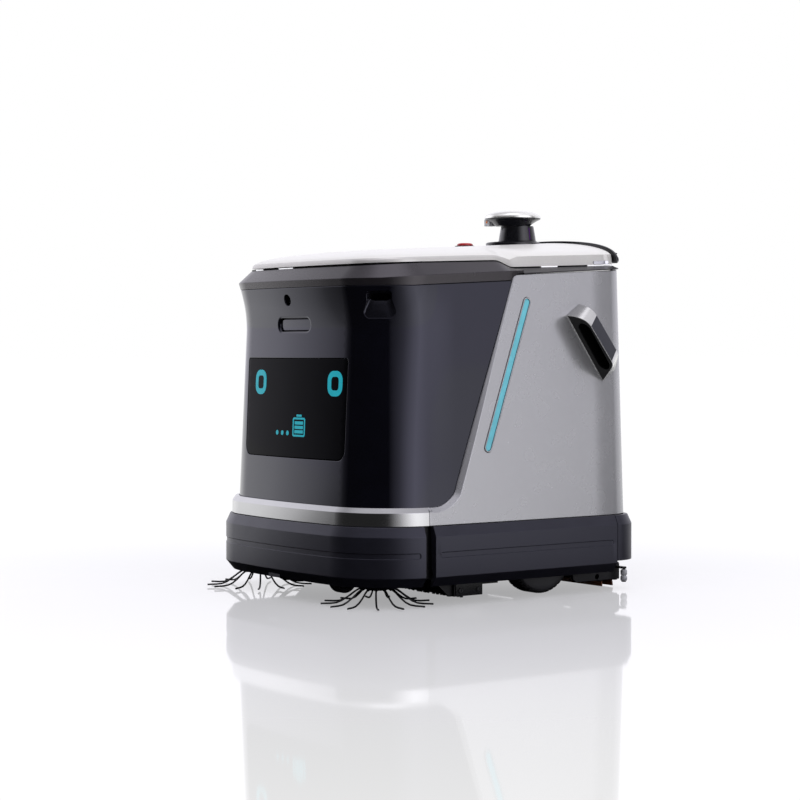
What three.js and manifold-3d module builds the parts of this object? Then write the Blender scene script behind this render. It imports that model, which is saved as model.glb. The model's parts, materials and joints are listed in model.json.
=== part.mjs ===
// Robotic floor cleaner, built as separate pieces around one plan outline.
// Millimetres, +Z up, front of the machine towards -Y, origin on the floor under the middle.
import * as THREE from 'three';
import { mergeVertices } from 'three/addons/utils/BufferGeometryUtils.js';
import Module from 'manifold-3d';

const wasm = await Module();
wasm.setup();

// ---------------------------------------------------------------- driving dimensions
const GAP = 0.4;

// Plan outline, measured at the face of the bumpers.
const HALF_WIDTH = 270;
const FRONT_Y = -300;
const REAR_Y = 312;
const BOW_RADIUS = 1427;
const FRONT_CORNER_R = 134;
const REAR_CORNER_R = 60;

// Bumper ring.
const BUMPER_BOTTOM_Z = 34;
const BUMPER_FACE_Z0 = 50;
const BUMPER_FACE_Z1 = 118;
const BUMPER_TOP_Z = 134.6;
const REAR_BUMPER_Z0 = 54;
const BUMPER_WALL = 4.5;
const BUMPER_TOP_INSET = 7.5;
const FRONT_BUMPER_END_Y = -178;
const SIDE_BUMPER_Y0 = -158.5;
const SIDE_BUMPER_Y1 = 245;

// Silver sill and side panels: inset from the outline grows with height.
const SILL_Z0 = 135.2;
const SILL_BEVEL_Z = 154;
const SILL_TOP_Z = 166;
const PANEL_INSET = 11;
const PANEL_LEAN = 0.0302;
const PANEL_WALL = 3;
const SILL_SEAM_Y = -164.5;
const SLANT_LOW = { y: -104, z: 190 };
const SLANT_HIGH = { y: 25, z: 548 };
const PANEL_TOP = { y: 41, z: 556.5 };
const PANEL_TOP_SLOPE = 0.058;
const PANEL_SLANT_CHAMFER = 20.8;
const PANEL_END_X = 196;

// Black front shell: a waist at SHELL_WAIST_Z.
const SHELL_Z0 = 158;
const SHELL_FOOT_INSET = 24;
const SHELL_WAIST_INSET = 37.7;
const SHELL_WAIST_Z = 462;
const SHELL_BROW_CURVE = 0.002;
const SHELL_WALL = 3.5;
const SHELL_END_Y = 12;
const SHELL_SIDE_STEP = 10.5;
const SHELL_TURN_PART = 0.6;
const SHELL_TURN_END_Y = -100;

// Visor ring under the lid.
const VISOR = { z0: 535.2, crease: 547, seam: 568.5, inset0: 27, insetCrease: 23.5, insetSeam: 47 };
const VISOR_END_Y = 49.5;
const LID_GAP = 1.4;

// Lid.
const LID_INSET = 48;
const LID_WALL = 3;
const LID_CROWN_Z = 610;
const LID_CROWN_SLOPE = 0.059;
const LID_POWER = { front: 2.7, rear: 2.05, blendY0: -50, blendY1: 200 };
const LID_REAR_REACH = 17.5;
const HINGE = { x: 205, y: 292, z: 590, r: 6 };

// Things on the lid.
const LIDAR = { y: 227, baseR: 51, baseZ: 622, windowZ: 627, coneZ: 657, rimZ: 671.5, topZ: 685.5 };
const ESTOP = { y: 113, r: 14.8, collarR: 19, collarZ: 618, capZ: 622.3, topZ: 627 };

// Wheels and cleaning gear.
const WHEEL = { r: 67, width: 40, outerX: 216, y: 118 };
const CASTER = { r: 25, y: -160, swivelY: -176, pocketR: 43, plateZ: 58 };
const DECK = { y0: -128, y1: 14, bottomZ: 9, halfX: 219, topZ: 112 };
const MAIN_BRUSH = { r: 42, coreR: 22, y: -56, z: 45, halfLength: 208 };
const SIDE_BRUSH = { x: 183, y: -216.4, hubR: 28, hubTopZ: 40, tipR: 95, tufts: 12, tipZ: 3.5 };
const SQUEEGEE = { pivotY: 196, pivotZ: 66, armY0: 187, armY1: 298, armX: 211, armWall: 6, halfX: 208 };
const BLADE = { frontY: 262, rearY: 286, thickness: 3, tipZ: 2, topZ: 33.6 };
const BLADE_BAR = { width: 8, z0: 12, roofZ: 42 };
const BRACKET = { x0: 220, x1: 226, wallX: 244, halfY: 12, z0: 55, z1: 100, webZ: 94 };
const GUIDE_ROLLER = { x: 234, y: 293, r: 6, z0: 12, z1: 33, pinR: 2.6 };

// Handle on each side panel.
const HANDLE = { y: 143.9, z: 488, length: 142, out: 52, width: 34, taper: 0.35 };
const HANDLE_FACE = { start: 24, end: 98, slope: 4 };
const HANDLE_DIRECTION = new THREE.Vector2(0.575, -0.818);
const GRIP_SLOT = { along: 67, out: 26.5, halfLength: 49, r: 15, wall: 8 };

// ---------------------------------------------------------------- plan outline
const bowCentreY = FRONT_Y + BOW_RADIUS;
const cornerX = HALF_WIDTH - FRONT_CORNER_R;
const cornerReach = BOW_RADIUS - FRONT_CORNER_R;
const cornerY = bowCentreY - Math.sqrt(cornerReach ** 2 - cornerX ** 2);
const bowAngle = Math.asin(cornerX / cornerReach);
const rearX = HALF_WIDTH - REAR_CORNER_R;
const rearCornerY = REAR_Y - REAR_CORNER_R;

const S_BOW = BOW_RADIUS * bowAngle;
const S_CORNER = S_BOW + FRONT_CORNER_R * (Math.PI / 2 - bowAngle);
const S_SIDE = S_CORNER + rearCornerY - cornerY;
const S_REAR = S_SIDE + REAR_CORNER_R * Math.PI / 2;
const S_END = S_REAR + rearX;

// Point and outward normal on the outline, at distance s from the middle of the front.
function station(s) {
  const side = s < 0 ? -1 : 1;
  const d = Math.abs(s);
  let x;
  let y;
  let nx;
  let ny;
  if (d <= S_BOW) {
    nx = Math.sin(d / BOW_RADIUS);
    ny = -Math.cos(d / BOW_RADIUS);
    x = BOW_RADIUS * nx;
    y = bowCentreY + BOW_RADIUS * ny;
  } else if (d <= S_CORNER) {
    const angle = bowAngle + (d - S_BOW) / FRONT_CORNER_R;
    nx = Math.sin(angle);
    ny = -Math.cos(angle);
    x = cornerX + FRONT_CORNER_R * nx;
    y = cornerY + FRONT_CORNER_R * ny;
  } else if (d <= S_SIDE) {
    nx = 1;
    ny = 0;
    x = HALF_WIDTH;
    y = cornerY + d - S_CORNER;
  } else if (d <= S_REAR) {
    const angle = (d - S_SIDE) / REAR_CORNER_R;
    nx = Math.cos(angle);
    ny = Math.sin(angle);
    x = rearX + REAR_CORNER_R * nx;
    y = rearCornerY + REAR_CORNER_R * ny;
  } else {
    nx = 0;
    ny = 1;
    x = rearX - (d - S_REAR);
    y = REAR_Y;
  }
  return { s, x: side * x, y, nx: side * nx, ny };
}

// Distance along the outline to the height y on the straight side or in the front corner.
function sideStation(y) {
  if (y >= cornerY) return S_CORNER + y - cornerY;
  return S_BOW + FRONT_CORNER_R * (Math.acos((cornerY - y) / FRONT_CORNER_R) - bowAngle);
}

const MARK_SPACING = 1.2;

// Stations from s0 to s1, closer together round the corners and where extra marks are given.
// Both halves carry the same marks, so that mirrored stations match exactly.
function stationsBetween(s0, s1, sideStep = 60, extra = []) {
  const stretches = [[0, S_BOW, 2], [S_BOW, S_CORNER, 6],
    [S_CORNER, S_SIDE, Math.ceil((S_SIDE - S_CORNER) / sideStep)],
    [S_SIDE, S_REAR, 4], [S_REAR, S_END, 2]];
  const marks = [...extra];
  for (const [from, to, steps] of stretches) {
    for (let i = 0; i <= steps; i++) marks.push(from + (to - from) * i / steps);
  }
  marks.sort((a, b) => a - b);
  const half = marks.filter((s, i) => i === 0 || s - marks[i - 1] > MARK_SPACING);
  const whole = [...half.map((s) => -s).reverse(), ...half.slice(1)];
  const inside = whole.filter((s) => s > s0 + MARK_SPACING && s < s1 - MARK_SPACING);
  return [s0, ...inside, s1].map(station);
}

const inset = (st, o, z) => new THREE.Vector3(st.x - st.nx * o, st.y - st.ny * o, z);

// ---------------------------------------------------------------- solids
function solid(points, triangles) {
  const geometry = new THREE.BufferGeometry();
  geometry.setAttribute('position', new THREE.Float32BufferAttribute(points.flatMap((p) => p.toArray()), 3));
  geometry.setIndex(triangles.flat());
  return outward(weld(geometry));
}

// Merge equal vertices and drop triangles that have no area.
function weld(geometry) {
  const plain = geometry.clone();
  plain.deleteAttribute('normal');
  plain.deleteAttribute('uv');
  const merged = mergeVertices(plain, 1e-4);
  const index = merged.getIndex().array;
  const kept = [];
  for (let i = 0; i < index.length; i += 3) {
    const [a, b, c] = [index[i], index[i + 1], index[i + 2]];
    if (a !== b && b !== c && c !== a) kept.push(a, b, c);
  }
  merged.setIndex(kept);
  return merged;
}

// Turn the faces over if the solid is inside out.
function outward(geometry) {
  const p = geometry.getAttribute('position');
  const index = [...geometry.getIndex().array];
  const corner = (i) => new THREE.Vector3().fromBufferAttribute(p, i);
  let volume = 0;
  for (let i = 0; i < index.length; i += 3) {
    volume += corner(index[i]).dot(corner(index[i + 1]).cross(corner(index[i + 2])));
  }
  if (volume < 0) {
    for (let i = 0; i < index.length; i += 3) {
      [index[i + 1], index[i + 2]] = [index[i + 2], index[i + 1]];
    }
    geometry.setIndex(index);
  }
  return geometry;
}

// Sweep a closed section [[inset, z], ...] along the stations.
function sweep(stations, section, closed = false) {
  const sections = stations.map(section);
  const count = sections[0].length;
  const points = [];
  const triangles = [];
  stations.forEach((st, i) => sections[i].forEach(([o, z]) => points.push(inset(st, o, z))));
  const rings = stations.length;
  for (let i = 0; i < (closed ? rings : rings - 1); i++) {
    const next = (i + 1) % rings;
    for (let j = 0; j < count; j++) {
      const k = (j + 1) % count;
      const [a, b, c, d] = [i * count + j, i * count + k, next * count + k, next * count + j];
      triangles.push([a, b, c], [a, c, d]);
    }
  }
  if (!closed) {
    for (const [ring, flip] of [[0, false], [rings - 1, true]]) {
      const flat = sections[ring].map(([o, z]) => new THREE.Vector2(o, z));
      const clockwise = THREE.ShapeUtils.isClockWise(flat);
      for (const face of THREE.ShapeUtils.triangulateShape(flat, [])) {
        const cap = face.map((i) => ring * count + i);
        triangles.push(flip === clockwise ? cap : cap.reverse());
      }
    }
  }
  return solid(points, orientCaps(triangles));
}

// Make every cap triangle run against its neighbours along shared edges.
function orientCaps(triangles) {
  const owner = new Map();
  const key = (a, b) => `${a}_${b}`;
  triangles.forEach((t, i) => t.forEach((a, j) => {
    const e = key(a, t[(j + 1) % 3]);
    owner.set(e, [...(owner.get(e) ?? []), i]);
  }));
  const seen = new Array(triangles.length).fill(false);
  const result = triangles.map((t) => [...t]);
  const queue = [0];
  seen[0] = true;
  while (queue.length) {
    const i = queue.pop();
    const t = result[i];
    for (let j = 0; j < 3; j++) {
      const [a, b] = [t[j], t[(j + 1) % 3]];
      const same = (owner.get(key(a, b)) ?? []).filter((n) => !seen[n]);
      const opposite = (owner.get(key(b, a)) ?? []).filter((n) => !seen[n]);
      for (const n of same) {
        result[n] = [...triangles[n]].reverse();
        seen[n] = true;
        queue.push(n);
      }
      for (const n of opposite) {
        if (seen[n]) continue;
        seen[n] = true;
        queue.push(n);
      }
    }
  }
  return result;
}

function toManifold(geometry) {
  const g = weld(geometry);
  return new wasm.Manifold(new wasm.Mesh({
    numProp: 3,
    vertProperties: new Float32Array(g.getAttribute('position').array),
    triVerts: new Uint32Array(g.getIndex().array),
  }));
}

function fromManifold(manifold) {
  const mesh = manifold.getMesh();
  const geometry = new THREE.BufferGeometry();
  const positions = [];
  for (let i = 0; i < mesh.numVert; i++) {
    const at = i * mesh.numProp;
    positions.push(mesh.vertProperties[at], mesh.vertProperties[at + 1], mesh.vertProperties[at + 2]);
  }
  geometry.setAttribute('position', new THREE.Float32BufferAttribute(positions, 3));
  geometry.setIndex([...mesh.triVerts]);
  return geometry;
}

function join(first, ...rest) {
  return fromManifold(rest.reduce((whole, g) => whole.add(toManifold(g)), toManifold(first)));
}

function cut(first, ...rest) {
  return fromManifold(rest.reduce((whole, g) => whole.subtract(toManifold(g)), toManifold(first)));
}

function box(x0, x1, y0, y1, z0, z1) {
  const geometry = new THREE.BoxGeometry(x1 - x0, y1 - y0, z1 - z0);
  return geometry.translate((x0 + x1) / 2, (y0 + y1) / 2, (z0 + z1) / 2);
}

// Limits in x, smallest first, of a part between two distances from the middle plane.
const span = (side, near, far) => [Math.min(side * near, side * far), Math.max(side * near, side * far)];

// Turned solid about +Z: profile is [[radius, z], ...] from axis to axis, or closed on itself.
function turned(profile, segments = 24) {
  const geometry = new THREE.LatheGeometry(profile.map(([r, z]) => new THREE.Vector2(r, z)), segments);
  return outward(weld(geometry.rotateX(Math.PI / 2)));
}

const closedRing = (profile) => [...profile, profile[0]];

function cylinder(r, z0, z1, segments = 24) {
  return turned([[0, z0], [r, z0], [r, z1], [0, z1]], segments);
}

const alongX = (geometry) => geometry.rotateY(Math.PI / 2);
const alongY = (geometry) => geometry.rotateX(Math.PI / 2);

// Flat outline in the XY plane, extruded from z0 to z1.
function plate(points, z0, z1) {
  const shape = new THREE.Shape(points.map(([x, y]) => new THREE.Vector2(x, y)));
  const options = { depth: z1 - z0, bevelEnabled: false, curveSegments: 8 };
  const geometry = new THREE.ExtrudeGeometry(shape, options);
  return outward(weld(geometry.translate(0, 0, z0)));
}

function stadium(halfLength, radius, segments = 8) {
  const points = [];
  for (const side of [1, -1]) {
    for (let i = 0; i <= segments; i++) {
      const angle = -Math.PI / 2 + Math.PI * i / segments;
      points.push([side * (halfLength - radius + radius * Math.cos(angle)), side * radius * Math.sin(angle)]);
    }
  }
  return points;
}

// ---------------------------------------------------------------- materials and nodes
const FINISH = {
  silver: [0xa9abb2, 0.35, 0.7],
  gloss_black: [0x16171b, 0.12, 0.0],
  visor_black: [0x3a3838, 0.35, 0.4],
  bumper_grey: [0x3b3d44, 0.6, 0.0],
  frame_black: [0x1c1c1f, 0.7, 0.0],
  lid_white: [0xe6e8ea, 0.3, 0.0],
  glass_dark: [0x0d0e11, 0.05, 0.0],
  light_cyan: [0x35b6c9, 0.3, 0.0],
  emergency_red: [0xb3161b, 0.35, 0.0],
  rubber_black: [0x18181a, 0.85, 0.0],
  bristle_black: [0x101012, 0.7, 0.0],
  steel: [0xb8bac0, 0.3, 1.0],
  tank_plastic: [0xc9ced3, 0.4, 0.0],
  motor_grey: [0x6c7076, 0.5, 0.3],
  battery_blue: [0x26456b, 0.5, 0.0],
  amber_rubber: [0x8a4f22, 0.6, 0.0],
  roller_white: [0xd9dbde, 0.4, 0.0],
  contact_brass: [0xb9924a, 0.3, 1.0],
};

const group = new THREE.Group();

function add(name, finish, geometry) {
  const [color, roughness, metalness] = FINISH[finish];
  const mesh = new THREE.Mesh(geometry, new THREE.MeshStandardMaterial({ color, roughness, metalness }));
  mesh.name = name;
  mesh.geometry.computeVertexNormals();
  group.add(mesh);
}

// Build a piece for the right (+X) side and its mirror image for the left.
function addPair(name, finish, make) {
  add(`${name}_right`, finish, make());
  add(`${name}_left`, finish, outward(make().scale(-1, 1, 1)));
}

// ---------------------------------------------------------------- heights that vary along the machine
const smooth = (t) => {
  const u = Math.min(1, Math.max(0, t));
  return u * u * (3 - 2 * u);
};
const mix = (a, b, t) => a + (b - a) * t;

const panelInset = (z) => PANEL_INSET + (z - SILL_Z0) * PANEL_LEAN;
const panelTopLine = (y) => PANEL_TOP.z + PANEL_TOP_SLOPE * (y - PANEL_TOP.y);
const visorFoot = (y) => VISOR.z0 + 0.055 * Math.max(0, y + 190);
const visorCrease = (y) => VISOR.crease + 0.0585 * Math.max(0, y + 250);

// The lid seam runs level across the front, climbs along the side and steps down behind the shell.
function seamHeight(y) {
  const ahead = VISOR.seam + 0.039 * Math.max(0, y + 290);
  const behind = 569 + 0.043 * (y - 46);
  return mix(ahead, behind, smooth((y - 2) / 44));
}

// Behind this depth the seam keeps its height.
const SEAM_LEVEL_Y = 266;

// Stations that the pieces along the seam share, so that their faces run side by side.
const SEAM_MARKS = [2, 13, 24, 35, 46].map(sideStation);
const SEAM_STEP = 80;

// The lid reaches further back than its side inset, to a flat rear end.
const rimInset = (st, o) => o - LID_REAR_REACH * Math.max(0, st.ny) ** 3;

// Top boundary of the side panel: sill, foot fillet, slanted edge, top corner, top edge.
function panelTopAt(y) {
  const slope = (SLANT_HIGH.z - SLANT_LOW.z) / (SLANT_HIGH.y - SLANT_LOW.y);
  const slant = SLANT_LOW.z + slope * (y - SLANT_LOW.y);
  const foot = SILL_TOP_Z + 0.0125 * Math.max(0, y + 146) ** 2;
  if (y >= PANEL_TOP.y) return panelTopLine(y);
  const corner = mix(SLANT_HIGH.z, PANEL_TOP.z, smooth((y - SLANT_HIGH.y) / (PANEL_TOP.y - SLANT_HIGH.y)));
  return Math.min(y < SLANT_LOW.y ? foot : slant, corner);
}

function shellInset(st, z) {
  let front = mix(SHELL_FOOT_INSET, SHELL_WAIST_INSET, (z - SHELL_Z0) / (SHELL_WAIST_Z - SHELL_Z0));
  if (z > SHELL_WAIST_Z) front = SHELL_WAIST_INSET - SHELL_BROW_CURVE * (z - SHELL_WAIST_Z) ** 2;
  const side = panelInset(z) + SHELL_SIDE_STEP;
  const start = mix(S_BOW, S_CORNER, SHELL_TURN_PART);
  return mix(front, side, smooth((Math.abs(st.s) - start) / (sideStation(SHELL_TURN_END_Y) - start)));
}

// ---------------------------------------------------------------- chassis
const SEAM_OPENING = 1.5;
function outlinePoints(o) {
  return stationsBetween(-S_END, S_END - SEAM_OPENING).map((st) => {
    const p = inset(st, o, 0);
    return [p.x, p.y];
  });
}

const TRAY = {
  inset: 22, wallInset: 26, z0: 46, floorZ: 52, topZ: 154, cutZ0: 40, cutZ1: 60, wellCutZ: 74,
};
const chassisFloor = plate(outlinePoints(TRAY.inset), TRAY.z0, TRAY.floorZ);
const chassisWall = sweep(stationsBetween(-S_END, S_END - SEAM_OPENING), () => [
  [TRAY.inset, TRAY.z0], [TRAY.wallInset, TRAY.z0],
  [TRAY.wallInset, TRAY.topZ], [TRAY.inset, TRAY.topZ],
], true);
const wheelWell = (side) => box(
  ...span(side, 40, WHEEL.outerX + 6), WHEEL.y - WHEEL.r - 7, WHEEL.y + 62, TRAY.cutZ0, TRAY.cutZ1);
const brushHole = (side) => cylinder(24, TRAY.cutZ0, TRAY.cutZ1)
  .translate(side * SIDE_BRUSH.x, SIDE_BRUSH.y, 0);
const GUIDE_PIN = { x: 120, z: 90, r: 5, tailY: -262 };
const guidePin = (side, grow, length) => alongY(cylinder(GUIDE_PIN.r + grow, 0, length, 12))
  .translate(side * GUIDE_PIN.x, GUIDE_PIN.tailY + grow, GUIDE_PIN.z);
add('chassis_tray', 'frame_black', cut(
  join(chassisFloor, chassisWall),
  wheelWell(1), wheelWell(-1), brushHole(1), brushHole(-1),
  box(-DECK.halfX - 8, DECK.halfX + 8, DECK.y0 - 1, DECK.y1 + 2, TRAY.cutZ0, TRAY.cutZ1),
  cylinder(CASTER.pocketR, TRAY.cutZ0, TRAY.cutZ1).translate(0, CASTER.swivelY, 0),
  box(-BRACKET.wallX, BRACKET.wallX, SQUEEGEE.armY0 - 10, SQUEEGEE.armY1 + 6, TRAY.cutZ0, TRAY.wellCutZ),
  guidePin(1, 1, 40), guidePin(-1, 1, 40),
));

// ---------------------------------------------------------------- bumpers
const bumperSection = () => [
  [0, BUMPER_FACE_Z0], [0, BUMPER_FACE_Z1],
  [BUMPER_TOP_INSET, BUMPER_TOP_Z], [BUMPER_TOP_INSET + 4, BUMPER_TOP_Z],
  [BUMPER_WALL, BUMPER_FACE_Z1 - 2], [BUMPER_WALL, BUMPER_FACE_Z0 + 3],
  [16, BUMPER_BOTTOM_Z + 3], [16, BUMPER_BOTTOM_Z], [13, BUMPER_BOTTOM_Z],
];
const rearBumperSection = () => [
  [0, REAR_BUMPER_Z0], [0, BUMPER_FACE_Z1],
  [BUMPER_TOP_INSET, BUMPER_TOP_Z], [BUMPER_TOP_INSET + 4, BUMPER_TOP_Z],
  [BUMPER_WALL, BUMPER_FACE_Z1 - 2], [BUMPER_WALL, REAR_BUMPER_Z0],
];
const frontEnd = sideStation(FRONT_BUMPER_END_Y);
add('front_bumper', 'bumper_grey', join(
  sweep(stationsBetween(-frontEnd, frontEnd), bumperSection),
  guidePin(1, 0, 31), guidePin(-1, 0, 31),
));
addPair('side_bumper', 'bumper_grey', () => sweep(
  stationsBetween(sideStation(SIDE_BUMPER_Y0), sideStation(SIDE_BUMPER_Y1), 140), bumperSection));
const rearStart = sideStation(SIDE_BUMPER_Y1 + 1.2);
const rearStations = [
  ...stationsBetween(rearStart, S_END),
  ...stationsBetween(-S_END, -rearStart).slice(1),
];
add('rear_bumper', 'bumper_grey', sweep(rearStations, rearBumperSection));

// ---------------------------------------------------------------- sill, side panels, rear
const sillEnd = sideStation(SILL_SEAM_Y - GAP);
add('front_sill', 'silver', sweep(stationsBetween(-sillEnd, sillEnd), () => [
  [PANEL_INSET, SILL_Z0], [PANEL_INSET + 0.5, SILL_BEVEL_Z], [PANEL_INSET + 7, SILL_TOP_Z],
  [PANEL_INSET + 12, SILL_TOP_Z], [PANEL_INSET + 12, SILL_TOP_Z - 3], [PANEL_INSET + 3.5, SILL_BEVEL_Z - 2],
  [PANEL_INSET + 3, SILL_Z0],
]));

const PANEL_ROWS = 4;
const REAR_TOP_Y = rearCornerY + 36;
const FOOT_END_Y = SILL_SEAM_Y + 30;

// Height of the chamfer along the panel's edge: on the foot, along the slant, and along the top.
function panelChamfer(onSide, y, top) {
  if (onSide && y <= FOOT_END_Y) return 12;
  if (onSide && y < SLANT_HIGH.y - 4) return Math.min(PANEL_SLANT_CHAMFER, (top - SILL_Z0) * 0.35);
  return 5;
}

function panelSection(st) {
  const onSide = Math.abs(st.s) <= S_SIDE;
  const top = onSide ? panelTopAt(st.y) : panelTopLine(Math.min(st.y, REAR_TOP_Y));
  const shoulder = top - panelChamfer(onSide, st.y, top);
  const rows = Array.from({ length: PANEL_ROWS + 1 }, (_, i) => mix(SILL_Z0, shoulder, i / PANEL_ROWS));
  const outer = rows.map((z) => [panelInset(z), z]);
  const inner = rows.slice().reverse().map((z) => [panelInset(z) + PANEL_WALL, z - (z === shoulder ? 1 : 0)]);
  return [...outer, [panelInset(top) + 6, top], [panelInset(top) + 9, top], ...inner];
}

function panelStations() {
  const depths = [SILL_SEAM_Y, -146, -132, -117, SLANT_LOW.y, -60, -20, SLANT_HIGH.y, 33, PANEL_TOP.y, 60];
  const marks = depths.map(sideStation);
  const front = marks.map(station);
  const end = S_REAR + rearX - PANEL_END_X;
  return [...front, ...stationsBetween(marks.at(-1) + 40, end, 90)];
}

// A frame whose +Z leans with the side panel's outer face, at height z and depth y.
function onPanel(geometry, y, z, turn = 0, lift = 0) {
  const lean = Math.atan(PANEL_LEAN);
  const local = new THREE.Matrix4().makeBasis(
    new THREE.Vector3(0, 1, 0), new THREE.Vector3(-Math.sin(lean), 0, Math.cos(lean)),
    new THREE.Vector3(Math.cos(lean), 0, Math.sin(lean)));
  const at = new THREE.Matrix4().makeTranslation(HALF_WIDTH - panelInset(z), y, z);
  const spin = new THREE.Matrix4().makeRotationZ(turn);
  const up = new THREE.Matrix4().makeTranslation(0, 0, lift);
  return outward(geometry.applyMatrix4(at.multiply(local).multiply(spin).multiply(up)));
}

const STRIP = { y0: -39, z0: 255, y1: 57, z1: 517, radius: 7.5 };
const stripMid = { y: (STRIP.y0 + STRIP.y1) / 2, z: (STRIP.z0 + STRIP.z1) / 2 };
const stripTurn = Math.atan2(STRIP.z1 - STRIP.z0, STRIP.y1 - STRIP.y0);
const stripHalf = Math.hypot(STRIP.z1 - STRIP.z0, STRIP.y1 - STRIP.y0) / 2;
const stripPlate = (grow, z0, z1) => onPanel(
  plate(stadium(stripHalf + grow, STRIP.radius + grow), z0, z1), stripMid.y, stripMid.z, stripTurn);

addPair('side_panel', 'silver', () => cut(
  sweep(panelStations(), panelSection),
  stripPlate(0.5, -8, 4),
));
addPair('light_strip', 'light_cyan', () => stripPlate(0.1, -2.4, 0.2));

const rearPanelStations = stationsBetween(S_REAR + rearX - PANEL_END_X + 1, S_END);
const rearRows = [SILL_Z0, 340, 500, panelTopLine(REAR_TOP_Y)];
const rearPanelSection = () => [
  ...rearRows.map((z) => [panelInset(z) + 1, z]),
  ...rearRows.slice().reverse().map((z) => [panelInset(z) + 4, z]),
];
const bothWays = (half) => [...half, ...half.slice(0, -1).reverse().map((st) => station(-st.s))];
const rearFaceY = (z) => REAR_Y - panelInset(z) - 1;
const GRILLE = { slots: 5, z0: 452, pitch: 15, height: 6, halfWidth: 110 };
const grilleSlots = Array.from({ length: GRILLE.slots }, (_, i) => {
  const z = GRILLE.z0 + GRILLE.pitch * i;
  return box(-GRILLE.halfWidth, GRILLE.halfWidth, rearFaceY(z) - 10, REAR_Y, z, z + GRILLE.height);
});
const CONTACT = { x: 34, halfWidth: 15, z0: 179, z1: 189, proud: 1.5 };
const contactFaceY = rearFaceY((CONTACT.z0 + CONTACT.z1) / 2);
const contactCut = (side) => box(
  side * CONTACT.x - CONTACT.halfWidth - 1, side * CONTACT.x + CONTACT.halfWidth + 1,
  REAR_Y - 30, REAR_Y, CONTACT.z0 - 1, CONTACT.z1 + 1);
add('rear_panel', 'visor_black', cut(
  sweep(bothWays(rearPanelStations), rearPanelSection),
  ...grilleSlots, contactCut(1), contactCut(-1),
));
addPair('charge_contact', 'contact_brass', () => box(
  CONTACT.x - CONTACT.halfWidth, CONTACT.x + CONTACT.halfWidth,
  contactFaceY - 6, contactFaceY + CONTACT.proud, CONTACT.z0, CONTACT.z1));

// ---------------------------------------------------------------- front shell and what it carries
const SHELL_ROWS = 6;
const SHELL_ROW_POWER = 1.35;
const shellEnd = sideStation(SHELL_END_Y);
const shellStations = stationsBetween(-shellEnd, shellEnd, 60);
function shellSection(st) {
  const top = visorFoot(st.y) - 0.6;
  const rows = Array.from({ length: SHELL_ROWS + 1 }, (_, i) => (
    mix(SHELL_Z0, top, 1 - (1 - i / SHELL_ROWS) ** SHELL_ROW_POWER)));
  return [
    ...rows.map((z) => [shellInset(st, z), z]),
    ...rows.slice().reverse().map((z) => [shellInset(st, z) + SHELL_WALL, z]),
  ];
}

const DISPLAY = { halfWidth: 161, z0: 242, z1: 413 };
const displayHeights = [0, 0.33, 0.67, 1].map((t) => mix(DISPLAY.z0, DISPLAY.z1, t));
const displayBand = (grow, lift, depth) => sweep(
  stationsBetween(-DISPLAY.halfWidth - grow, DISPLAY.halfWidth + grow), (st) => {
    const rows = displayHeights.map((z, i) => z + grow * (i === 0 ? -1 : i === 3 ? 1 : 0));
    return [
      ...rows.map((z) => [shellInset(st, z) + lift, z]),
      ...rows.slice().reverse().map((z) => [shellInset(st, z) + depth, z]),
    ];
  });

const DEPTH_CAMERA = { halfWidth: 54, halfHeight: 15.5, z: 471 };
const depthOutline = (grow) => stadium(DEPTH_CAMERA.halfWidth + grow, DEPTH_CAMERA.halfHeight + grow);
const depthPlate = (grow, y0, y1) => alongY(plate(depthOutline(grow), -y1, -y0))
  .translate(0, 0, DEPTH_CAMERA.z);
const shellFaceY = FRONT_Y + SHELL_WAIST_INSET;
const FRONT_CAMERA = { x: -12, z: 514.5, r: 8 };
const cameraRod = (r, y0, y1) => alongY(cylinder(r, -y1, -y0, 20))
  .translate(FRONT_CAMERA.x, 0, FRONT_CAMERA.z);

// Sensor pocket in the front corner, facing outwards at 45 degrees.
const POCKET = { z: 498, mouthR: 24, floorR: 15, depth: 20 };
function inCorner(geometry, out) {
  const placed = geometry.rotateX(Math.PI / 2).rotateZ(Math.PI / 4);
  return placed.translate(cornerX + out / Math.SQRT2, cornerY - out / Math.SQRT2, POCKET.z);
}
const cornerFace = FRONT_CORNER_R - 35;
const pocketCone = (grow, z0, z1) => turned([[0, z0],
  [POCKET.floorR + grow, z0], [POCKET.mouthR + grow, z1], [0, z1]], 16);
const pocketCup = () => cut(
  pocketCone(2.5, -POCKET.depth - 2.5, -3),
  pocketCone(0, -POCKET.depth, 2));
const pocketHole = () => inCorner(cylinder(POCKET.mouthR + 4, -POCKET.depth - 8, 20, 16), cornerFace);

add('front_shell', 'gloss_black', cut(
  sweep(shellStations, shellSection),
  displayBand(0.6, -12, 24),
  depthPlate(0.5, shellFaceY - 20, shellFaceY + 20),
  cameraRod(FRONT_CAMERA.r + 0.5, shellFaceY - 20, shellFaceY + 20),
  pocketHole(), outward(pocketHole().scale(-1, 1, 1)),
));
add('display_panel', 'glass_dark', displayBand(-0.2, 0.4, 4.4));
add('depth_camera', 'glass_dark', depthPlate(-0.2, shellFaceY + 4, shellFaceY + 9));
add('front_camera', 'glass_dark', cameraRod(FRONT_CAMERA.r, shellFaceY - 1, shellFaceY + 12));
addPair('corner_sensor', 'gloss_black', () => inCorner(pocketCup(), cornerFace));

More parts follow.
